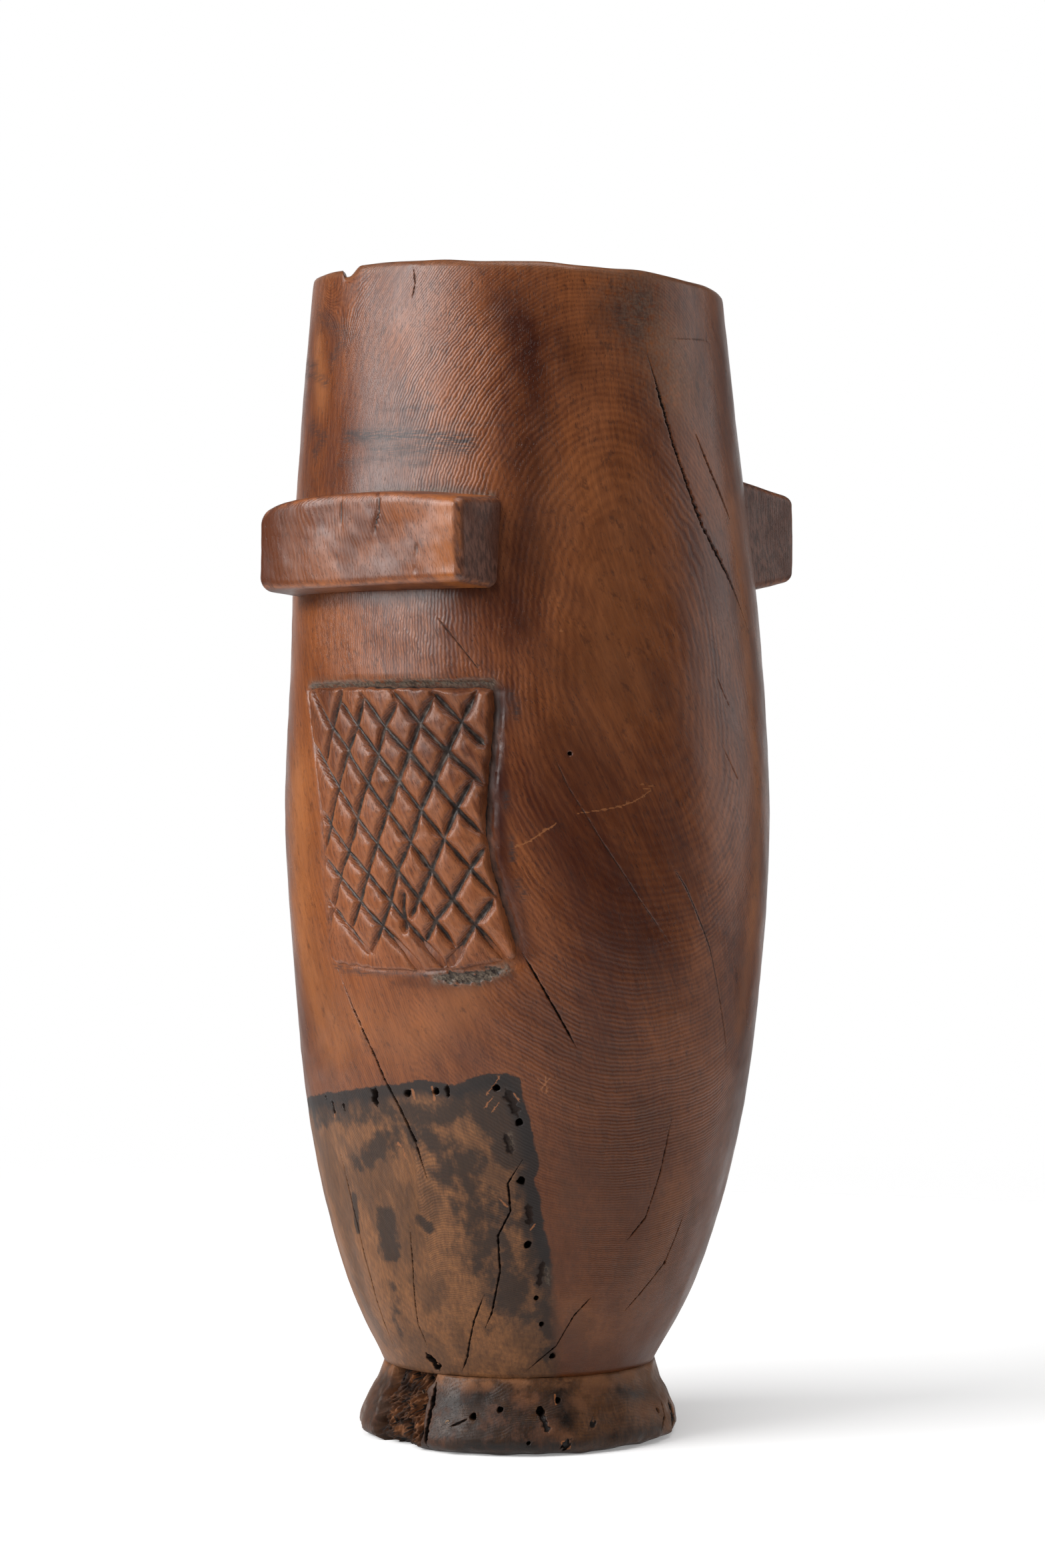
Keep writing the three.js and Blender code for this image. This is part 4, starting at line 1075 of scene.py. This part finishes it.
def broken_peg(name, peg):
    """A rod along the foot's radius, tapered inwards, with a splintered end."""
    outer = foot_radius(peg["height"]) - peg["recess"]
    turns = np.linspace(0, 360, PEG_SIDES + 1)
    end_rows = np.linspace(0, 1, 9)
    side_rows = np.linspace(1.15, 6, 12)
    cells = cell_grid(turns, np.concatenate([end_rows, side_rows, [6.5]]))
    turn, row = flat_places(cells).T
    across = PEG_RADIUS * np.clip(row, 0, 1) * np.where(row > 6.2, 0, 1) * (1 - 0.04 * np.clip(row - 1, 0, 5))
    back = PEG_LENGTH * np.clip(row - 1, 0, 5) / 5
    side, up = across * np.cos(np.radians(turn)), across * np.sin(np.radians(turn))
    local = np.column_stack([side, up, back])
    splinters = 0.35 * waves(local * [1, 1, 0], 0.9, seed=peg["seed"]) * (row <= 1)
    reach = outer - back + splinters - 0.25
    out = math.radians(peg["azimuth"])
    points = np.column_stack([
        reach * math.cos(out) - side * math.sin(out), reach * math.sin(out) + side * math.cos(out),
        peg["height"] + up,
    ])
    ring = smoothstep(0.7, 0.95, row) * smoothstep(1.6, 1.2, row)
    piece = carved_piece(name + "_end", cells, points, {"recess": ring})
    piece.data.materials.append(peg_wood)
    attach(piece, "root")
    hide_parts(name)


for name, peg in PEGS.items():
    broken_peg(name, peg)

# Lugs
# Two wide bars left standing across the body under the mouth, to lift and to tie the vessel by.
# They are carved from the same log, bowed outwards, with edges worn round and end grain that checked.
LUG_ROUND = 3.2
END_ROUND = 5.5
LUG_STEP = 0.75
LUG_SINK = 2.0
BAR_DEEP = 22
LUGS = {
    "near_lug": {"azimuth": 180, "reach": 99.2, "bow": 6, "half_width": 51, "low": 321.5, "high": 351.6,
                 "crown": 3.4, "flare": 0.12, "seed": 41, "front_side": 1,
                 "cracks": [(-1.3, 5, 14), (16, 3, 15), (33, -11, -1)]},
    "far_lug": {"azimuth": 355, "reach": 107, "bow": 2, "half_width": 50.5, "low": 329.5, "high": 362.6,
                "crown": 1.2, "flare": 0.35, "seed": 42, "front_side": -1,
                "cracks": [(-30, -18, 4), (-6, -8, 18), (12, -18, 2), (31, -4, 18)]},
}


def lug_piece(name, lug):
    """A rounded bar whose back lies just under the body's skin."""
    half = lug["half_width"]
    tall = (lug["high"] - lug["low"]) / 2
    middle_height = (lug["high"] + lug["low"]) / 2
    cube = bmesh.new()
    bmesh.ops.create_cube(cube, size=2)
    bmesh.ops.scale(cube, verts=cube.verts, vec=(BAR_DEEP / 2, half, tall))
    for axis, size in enumerate((BAR_DEEP, 2 * half, 2 * tall)):
        edges = [edge for edge in cube.edges
                 if abs(edge.verts[0].co[axis] - edge.verts[1].co[axis]) > size * 0.9]
        bmesh.ops.subdivide_edges(cube, edges=edges, cuts=int(size / LUG_STEP), use_grid_fill=True)
    cube.verts.index_update()
    box = np.array([corner.co[:] for corner in cube.verts])
    far_end = smoothstep(half - 16, half - 4, -box[:, 1] * lug["front_side"])[:, None]
    edge_round = LUG_ROUND + (END_ROUND - LUG_ROUND) * far_end
    corner = np.array([BAR_DEEP / 2, half, tall])
    core = np.clip(box, -corner + edge_round * [0, 1, 1], corner - edge_round)
    push = box - core
    length = np.linalg.norm(push, axis=1, keepdims=True)
    rounded = core + push / np.maximum(length, 1e-9) * np.minimum(length, edge_round)
    rounded = np.where(length > 0, rounded, box)
    side, up = rounded[:, 1], rounded[:, 2]
    share = (rounded[:, 0] + BAR_DEEP / 2) / BAR_DEEP
    front = lug["reach"] - lug["bow"] * (side / half) ** 2
    height = middle_height + up * (1 + lug["flare"] * (1 - share))
    sway = sway_at(height)
    out = math.radians(lug["azimuth"])
    sway_out = sway * math.cos(out - sway_turn)
    sway_side = -sway * math.sin(out - sway_turn)
    skin = body_radius(height) - LUG_SINK
    back = sway_out + np.sqrt(np.clip(skin**2 - (side - sway_side) ** 2, 100, None))
    reach = back + (front - back) * share
    crown = lug["crown"] * (1 - (side / half) ** 2) * np.clip(up / tall, 0, 1)
    points = np.column_stack([
        reach * math.cos(out) - side * math.sin(out), reach * math.sin(out) + side * math.cos(out),
        height + crown,
    ])
    wear = 0.4 * waves(points, 28, lug["seed"]) + 0.06 * waves(points, 7, lug["seed"] + 10)
    recess = np.zeros(len(side))
    for place, low, high in lug["cracks"]:
        bend = 0.9 * waves(points * [0, 0, 1], 12, seed=int(place) + 100)
        gap = np.abs(side - place - bend)
        span = smoothstep(low - 2, low + 3, up) * smoothstep(high + 2, high - 3, up)
        recess = np.maximum(recess, smoothstep(0.5, 0.1, gap) * span * smoothstep(0.5, 0.9, share))
    outward = np.array([math.cos(out), math.sin(out), 0])
    points = points + np.outer((wear - 1.2 * recess) * smoothstep(0.3, 1, share), outward)
    points[:, 2] += 0.3 * wear * np.sign(up)
    near_edge = np.clip(np.linalg.norm(push / edge_round, axis=1) - 1.02, 0, 0.35) / 0.35
    end_grain = smoothstep(half - 3.5, half - 1.5, np.abs(side))
    golden = smoothstep(half - 13, half - 8, side * lug["front_side"]) * (1 - end_grain)
    piece = carved_piece(name + "_bar", cube, points, {
        "recess": recess, "worn": near_edge, "end": end_grain, "golden": golden,
        "shade": smoothstep(0, -half, side * lug["front_side"]),
    })
    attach(piece, "root")
    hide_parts(name)
    return piece


material, tree, shader = new_material("worn_lug_wood")
fibre = fibre_place(tree)
figure, colour = grained_wood(tree, fibre, 0.42, 0.6, 0.45, Deep=paint(90, 45, 22), Warm=paint(138, 80, 43))
end_streaks = ranged(tree, figure["Streaks"], 0.38, 0.6)
end_wood = blend_colours(tree, end_streaks, paint(60, 39, 33), paint(104, 70, 58))
colour = blend_colours(tree, times(tree, mask_of(tree, "end"), 0.85), colour, end_wood)
golden = times(tree, mask_of(tree, "golden"), ranged(tree, figure["Streaks"], 0.3, 0.6, 0.4, 0.9))
colour = tinted(tree, colour, golden, 140, 78, 30)
clouded = patches(tree, fibre, (0.07, 0.07, 0.06), (4.0, 0.65), 0.44, 0.64, 0.0, 0.7)
# Random dark clouds, and painted shade that grows towards the bar's far end
colour = tinted(tree, colour, math_node(tree, "MAXIMUM", clouded, mask_of(tree, "shade")), 76, 38, 21)
flecks = patches(tree, fibre, (0.3, 0.3, 0.16), (6.0, 0.72), 0.54, 0.68, 0.0, 0.5)
colour = tinted(tree, colour, flecks, 58, 34, 24)
scuffs = patches(tree, fibre, (0.35, 0.35, 0.2), (4.0, 0.65), 0.4, 0.6, 0.0, 0.5)
colour = tinted(tree, colour, times(tree, mask_of(tree, "worn"), scuffs), 158, 92, 48)
# Dirt and painted shade in the bar's cracks
dirty_and_shaded = use_group(tree, grime_and_shade, {"Color": colour, "Fibre": fibre, "Recess": mask_of(tree, "recess")})
fill_sockets(tree, shader, {
    "Base Color": dirty_and_shaded["Color"], "Specular IOR Level": 0.48,
    "Roughness": patches(tree, fibre, (0.1, 0.1, 0.06), (3.0, 0.5), 0.3, 0.7, 0.3, 0.46),
    "Normal": relief_normal(tree, figure["Relief"], 0.00018, 0.8),
})
for name, lug in LUGS.items():
    lug_piece(name, lug).data.materials.append(material)

# Lattice panels
# Below each lug a panel of cross-hatched carving stands in low relief in a shallow field. V grooves,
# cut freehand with a knife, part it into lozenges that hands have worn smooth. Dirt and painted shade fill
# the grooves.
PANEL_RELIEF = 1.8
PANEL_LOW_RELIEF = 0.5
DOME_RISE = 0.45
GROOVE_DEPTH = 2.1
GROOVE_WIDTH = 4.2
GROOVE_ROUND = 0.5
PANEL_STEP = 0.7
PANEL_BACK = 2.6
PANEL_HALF_SPAN = 47
PANEL_MARGIN = 2

# Grooves of the near panel as pixels of the photograph: those that fall to the right, then those that rise
FALLING_GROOVES = {
    "falling 1": [(471, 1040), (495, 1089), (521, 1126), (550, 1175), (581, 1216), (616, 1263), (648, 1305),
                  (679, 1349), (712, 1387), (758, 1438)],
    "falling 2": [(510, 1052), (535, 1089), (567, 1132), (598, 1171), (632, 1215), (667, 1258), (706, 1303),
                  (746, 1347)],
    "falling 3": [(544, 1043), (576, 1089), (614, 1129), (651, 1172), (685, 1212), (728, 1255)],
    "falling 4": [(590, 1036), (630, 1085), (672, 1127), (725, 1176)],
    "falling 5": [(651, 1040), (693, 1083), (727, 1117)],
    "falling 6": [(471, 1115), (487, 1147), (506, 1181), (534, 1227), (564, 1265), (596, 1306), (625, 1344),
                  (653, 1381), (682, 1419)],
    "falling 7": [(481, 1214), (496, 1239), (521, 1277), (551, 1310), (585, 1352), (612, 1386), (637, 1414),
                  (666, 1447)],
    "falling 8": [(487, 1286), (509, 1316), (538, 1352), (572, 1389), (605, 1423), (633, 1456)],
    "falling 9": [(486, 1340), (499, 1361), (527, 1395), (553, 1429)],
}
RISING_GROOVES = {
    "rising 1": [(513, 1034), (506, 1061), (496, 1097), (488, 1144)],
    "rising 2": [(546, 1046), (535, 1089), (521, 1126), (514, 1155), (506, 1181), (499, 1213), (495, 1239),
                 (488, 1276)],
    "rising 3": [(596, 1055), (577, 1089), (567, 1132), (550, 1175), (540, 1201), (534, 1227), (528, 1255),
                 (521, 1277), (509, 1316), (499, 1361), (491, 1403)],
    "rising 4": [(652, 1045), (630, 1085), (614, 1129), (598, 1171), (581, 1216), (564, 1265), (551, 1310),
                 (538, 1352), (527, 1395)],
    "rising 5": [(716, 1037), (693, 1083), (672, 1127), (651, 1172), (632, 1215), (616, 1263), (596, 1306),
                 (585, 1352), (572, 1389), (559, 1426)],
    "rising 6": [(709, 1171), (685, 1212), (667, 1258), (648, 1305), (631, 1341), (617, 1374)],
    "rising 7": [(727, 1272), (706, 1303), (679, 1349), (653, 1381), (637, 1414)],
    "rising 8": [(740, 1349), (712, 1387), (694, 1417), (673, 1448)],
    "gouge": [(607, 1338), (605, 1364), (609, 1396)],
}
GROOVE_PATHS = list(FALLING_GROOVES.values()) + list(RISING_GROOVES.values())
groove_lines = [np.column_stack(panel_plane(NEAR_PANEL, *on_skin(pixels).T)) for pixels in GROOVE_PATHS]


def panel_detail(across, up):
    """Distance in mm to the nearest groove of the pattern. The panel's hidden rim counts as far away."""
    nearest = np.full(len(across), 1e9)
    for line in groove_lines:
        nearest = np.minimum(nearest, path_distance(across, up, line)[0])
    hidden = (np.abs(across) > PANEL_HALF_SPAN - 1.5) | (up < -0.5) | (up > PANEL_HEIGHT + 0.5)
    return np.where(hidden, 1e9, nearest)


def panel_piece(name, panel, seed):
    """A closed skin of domed lozenges between V grooves, wrapped round the body."""
    columns = np.linspace(-PANEL_HALF_SPAN, PANEL_HALF_SPAN, int(2 * PANEL_HALF_SPAN / PANEL_STEP))
    row_count = int((PANEL_HEIGHT + 2 * PANEL_MARGIN) / PANEL_STEP)
    rows = np.linspace(-PANEL_MARGIN, PANEL_HEIGHT + PANEL_MARGIN, row_count)
    cells = cell_grid(columns, rows)

    def detail(aside, up):
        return panel_detail(aside * panel["mirror"], up)

    halve_cells(cells, detail, 1.7)
    aside, up = flat_places(cells).T
    across = aside * panel["mirror"]
    height = panel["bottom"] + up
    azimuth = panel_middle(panel, height) + aside / arc_at(height)
    plain = settled(azimuth, body_radius(height), height)
    wobble = waves(plain, 8, seed)
    nearest = np.full(len(across), 1e9)
    for line in groove_lines:
        distance, share = path_distance(across, up, line)
        run_out = 0.7 * smoothstep(0.94, 1, share) + 0.7 * smoothstep(0.06, 0, share)
        nearest = np.minimum(nearest, distance + run_out)
    half = GROOVE_WIDTH / 2 * (0.82 + 0.25 * smoothstep(-30, 20, across)) * (1 + 0.15 * wobble)
    rounded = np.hypot(nearest, GROOVE_ROUND) / half
    groove = 0.65 * smoothstep(1.2, 0, rounded) + 0.35 * np.clip(1.1 - rounded, 0, 1)
    edge = panel_edge(panel, azimuth, height)[0] + 0.2 * waves(plain, 6, seed + 3)
    dome = DOME_RISE * smoothstep(0.3, 5.5, nearest)
    shoulder = smoothstep(-0.2, 1.2 + 1.6 * smoothstep(15, 36, across), edge)
    relief_share = smoothstep(-32, 22, across) * smoothstep(-5, 35, up)
    top = PANEL_LOW_RELIEF + (PANEL_RELIEF - PANEL_LOW_RELIEF) * relief_share
    raised = -FIELD_DEPTH - 0.4 + (top + FIELD_DEPTH + 0.4) * shoulder
    torn = 1 + 0.08 * waves(plain, 11, seed + 8)
    raised = raised + shoulder * (dome - DOME_RISE / 2 - GROOVE_DEPTH * groove * torn)
    raised = raised + 0.035 * waves(plain, 4, seed + 5) + 0.15 * waves(plain, 20, seed + 6)
    front = settled(azimuth, body_radius(height) + raised, height)
    count = len(across)
    faces = [[corner.index for corner in face.verts] for face in cells.faces]
    border = [[corner.index for corner in edge.verts] for edge in cells.edges if edge.is_boundary]
    cells.free()
    back_cells = cell_grid(columns, rows)
    back_aside, back_up = flat_places(back_cells).T
    faces += [[corner.index + count for corner in reversed(face.verts)] for face in back_cells.faces]
    back_cells.free()
    back_corner = {place: i + count for i, place in enumerate(zip(back_aside.round(3), back_up.round(3)))}
    partner = {i: back_corner[aside[i].round(3), up[i].round(3)] for edge in border for i in edge}
    faces += [[end, start, partner[start], partner[end]] for start, end in border]
    back_height = panel["bottom"] + back_up
    back_azimuth = panel_middle(panel, back_height) + back_aside / arc_at(back_height)
    back = settled(back_azimuth, body_radius(back_height) - PANEL_BACK, back_height)
    flat = bpy.data.meshes.new("panel")
    flat.from_pydata(np.vstack([front, back]).tolist(), [], faces)
    solid = bmesh.new()
    solid.from_mesh(flat)
    bpy.data.meshes.remove(flat)
    bmesh.ops.recalc_face_normals(solid, faces=solid.faces)

    def with_back(values):
        return np.concatenate([values, np.zeros(len(back))])

    crest = smoothstep(0.8, 1.3, nearest / half) * smoothstep(2.4, 1.5, nearest / half) * shoulder
    # Painted shade along the panel's border, strongest at its right edge, joins the dirt and painted shade in
    # the grooves
    at_border = (1 - smoothstep(0.2, 1.1, edge)) * (0.2 + 0.8 * smoothstep(-25, 0, across))
    groove_dirt_and_shade = np.maximum(0.85 * np.clip(groove, 0, 1) ** 0.85, at_border)
    piece = carved_piece(name + "_carving", solid, np.vstack([front, back]), {
        "recess": with_back(groove_dirt_and_shade), "worn": with_back(crest), "shade": with_back(smoothstep(25, 100, up)),
    })
    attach(piece, "root")
    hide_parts(name)
    return piece


material, tree, shader = new_material("carved_panel_wood")
fibre = fibre_place(tree)
figure, colour = grained_wood(tree, fibre, 0.6, 0.8, 0.45, Deep=paint(62, 29, 16), Warm=paint(134, 78, 46))
shaded = patches(tree, fibre, (0.09, 0.09, 0.06), (4.0, 0.65), 0.35, 0.6, 0.35, 1.0)
shaded = times(tree, times(tree, mask_of(tree, "shade"), shaded), 0.25)
colour = tinted(tree, colour, shaded, 58, 26, 18)
flecks = patches(tree, fibre, (0.3, 0.3, 0.2), (6.0, 0.72), 0.54, 0.68, 0.0, 0.45)
colour = tinted(tree, colour, flecks, 50, 28, 20)
colour = tinted(tree, colour, times(tree, mask_of(tree, "worn"), 0.3), 146, 92, 60)
dust = patches(tree, fibre, (0.25, 0.25, 0.25), (4.0, 0.65), 0.42, 0.7)
dust = blend_colours(tree, dust, paint(24, 15, 11), paint(70, 58, 50))
# Dusty dirt and painted shade fill the grooves and the border
dirty_and_shaded = use_group(tree, grime_and_shade, {
    "Color": colour, "Fibre": fibre, "Recess": mask_of(tree, "recess"), "Dirt and Shade": dust, "Reach": 0.3,
})
gloss = patches(tree, fibre, (0.12, 0.12, 0.06), (3.0, 0.5), 0.3, 0.7, 0.28, 0.42)
fill_sockets(tree, shader, {
    "Base Color": dirty_and_shaded["Color"], "Roughness": with_shares(tree, gloss, [(dirty_and_shaded["Mask"], 0.1)]),
    "Specular IOR Level": 0.3, "Normal": relief_normal(tree, figure["Relief"], 0.0002, 0.9),
})
for name, panel, seed in (("near_lattice_panel", NEAR_PANEL, 51), ("far_lattice_panel", FAR_PANEL, 61)):
    panel_piece(name, panel, seed).data.materials.append(material)

# Floor, lights and camera
# A white studio: a floor that keeps the vessel's soft shadow and fades into the white backdrop, one
# broad soft light from the left, a weak one from above, and the camera where the photographer stood.
FLOOR_RADIUS = 1.4
FLOOR_FADE_START = 0.3
FLOOR_FADE_END = 1.1
FLOOR_GLOW = 0.22
ROOM_LIGHT = 0.34
ROOM_DARK = 0.03
floor_mesh = bpy.data.meshes.new("floor")
floor_disc = bmesh.new()
bmesh.ops.create_circle(floor_disc, cap_ends=True, segments=96, radius=FLOOR_RADIUS)
floor_disc.to_mesh(floor_mesh)
floor_disc.free()
floor = bpy.data.objects.new("studio_floor", floor_mesh)
bpy.context.collection.objects.link(floor)
material, tree, shader = new_material("white_floor")
light_path = add_node(tree, "LightPath").outputs
seen = math_node(tree, "MAXIMUM", light_path["Is Camera Ray"], light_path["Is Glossy Ray"])
place = add_node(tree, "NewGeometry").outputs["Position"]
from_middle = add_node(tree, "VectorMath", {0: place}, operation="LENGTH").outputs["Value"]
fill_sockets(tree, shader, {
    "Base Color": (0.9, 0.9, 0.9, 1), "Roughness": 0.9, "Specular IOR Level": 0.2,
    "Emission Color": (1, 1, 1, 1), "Emission Strength": times(tree, seen, FLOOR_GLOW),
    "Alpha": ranged(tree, from_middle, FLOOR_FADE_START, FLOOR_FADE_END, 1.0, 0.0),
})
floor.data.materials.append(material)

# The backdrop stands behind the vessel, so reflections show it only from that side
world = bpy.data.worlds.new("studio")
bpy.context.scene.world = world
world.use_nodes = True
tree = world.node_tree
light_path = add_node(tree, "LightPath").outputs
direction = add_node(tree, "TexCoord").outputs["Generated"]
eye = math.radians(EYE_AZIMUTH)
away = (-math.cos(eye), -math.sin(eye), 0)
behind = add_node(tree, "VectorMath", {0: direction, 1: away}, operation="DOT_PRODUCT").outputs["Value"]
mirrored = ranged(tree, behind, 0.8, 1.0, ROOM_DARK, 0.7)
seen = math_node(tree, "MAXIMUM", light_path["Is Camera Ray"], light_path["Is Transmission Ray"])
strength = blend_colours(tree, light_path["Is Glossy Ray"], (ROOM_LIGHT, ROOM_LIGHT, ROOM_LIGHT, 1), mirrored)
strength = blend_colours(tree, seen, strength, (1, 1, 1, 1))
backdrop = next(made for made in tree.nodes if made.type == "BACKGROUND")
fill_sockets(tree, backdrop, {"Color": (1, 1, 1, 1), "Strength": strength})


def soft_light(name, azimuth, elevation, distance, width, height, power):
    """A broad lamp that faces the middle of the vessel."""
    lamp = bpy.data.lights.new(name, "AREA")
    lamp.shape = "RECTANGLE"
    lamp.size = width
    lamp.size_y = height
    lamp.energy = power
    turn, rise = math.radians(azimuth), math.radians(elevation)
    made = bpy.data.objects.new(name, lamp)
    made.location = (distance * math.cos(turn) * math.cos(rise), distance * math.sin(turn) * math.cos(rise),
                     0.22 + distance * math.sin(rise))
    made.rotation_euler = (math.pi / 2 - rise, 0, turn + math.pi / 2)
    bpy.context.collection.objects.link(made)


soft_light("key_softbox", 155, 26, 1.9, 1.8, 1.2, 57)
soft_light("top_softbox", 240, 72, 1.7, 1.0, 1.0, 12)
soft_light("edge_strip", 326, 14, 1.8, 1.2, 1.4, 6)

camera = bpy.data.objects.new("camera", bpy.data.cameras.new("camera"))
camera.data.lens = 36 * FOCAL_LENGTH / PHOTO_HEIGHT
camera.data.sensor_width = 36
camera.data.clip_end = 50
camera.location = (
    (EYE_DISTANCE * math.cos(eye) - EYE_OFFSET * math.sin(eye)) * MM,
    (EYE_DISTANCE * math.sin(eye) + EYE_OFFSET * math.cos(eye)) * MM,
    EYE_HEIGHT * MM,
)
camera.rotation_euler = (math.pi / 2, 0, eye + math.pi / 2)
bpy.context.collection.objects.link(camera)
bpy.context.scene.camera = camera
bpy.context.scene.view_settings.view_transform = "Standard"
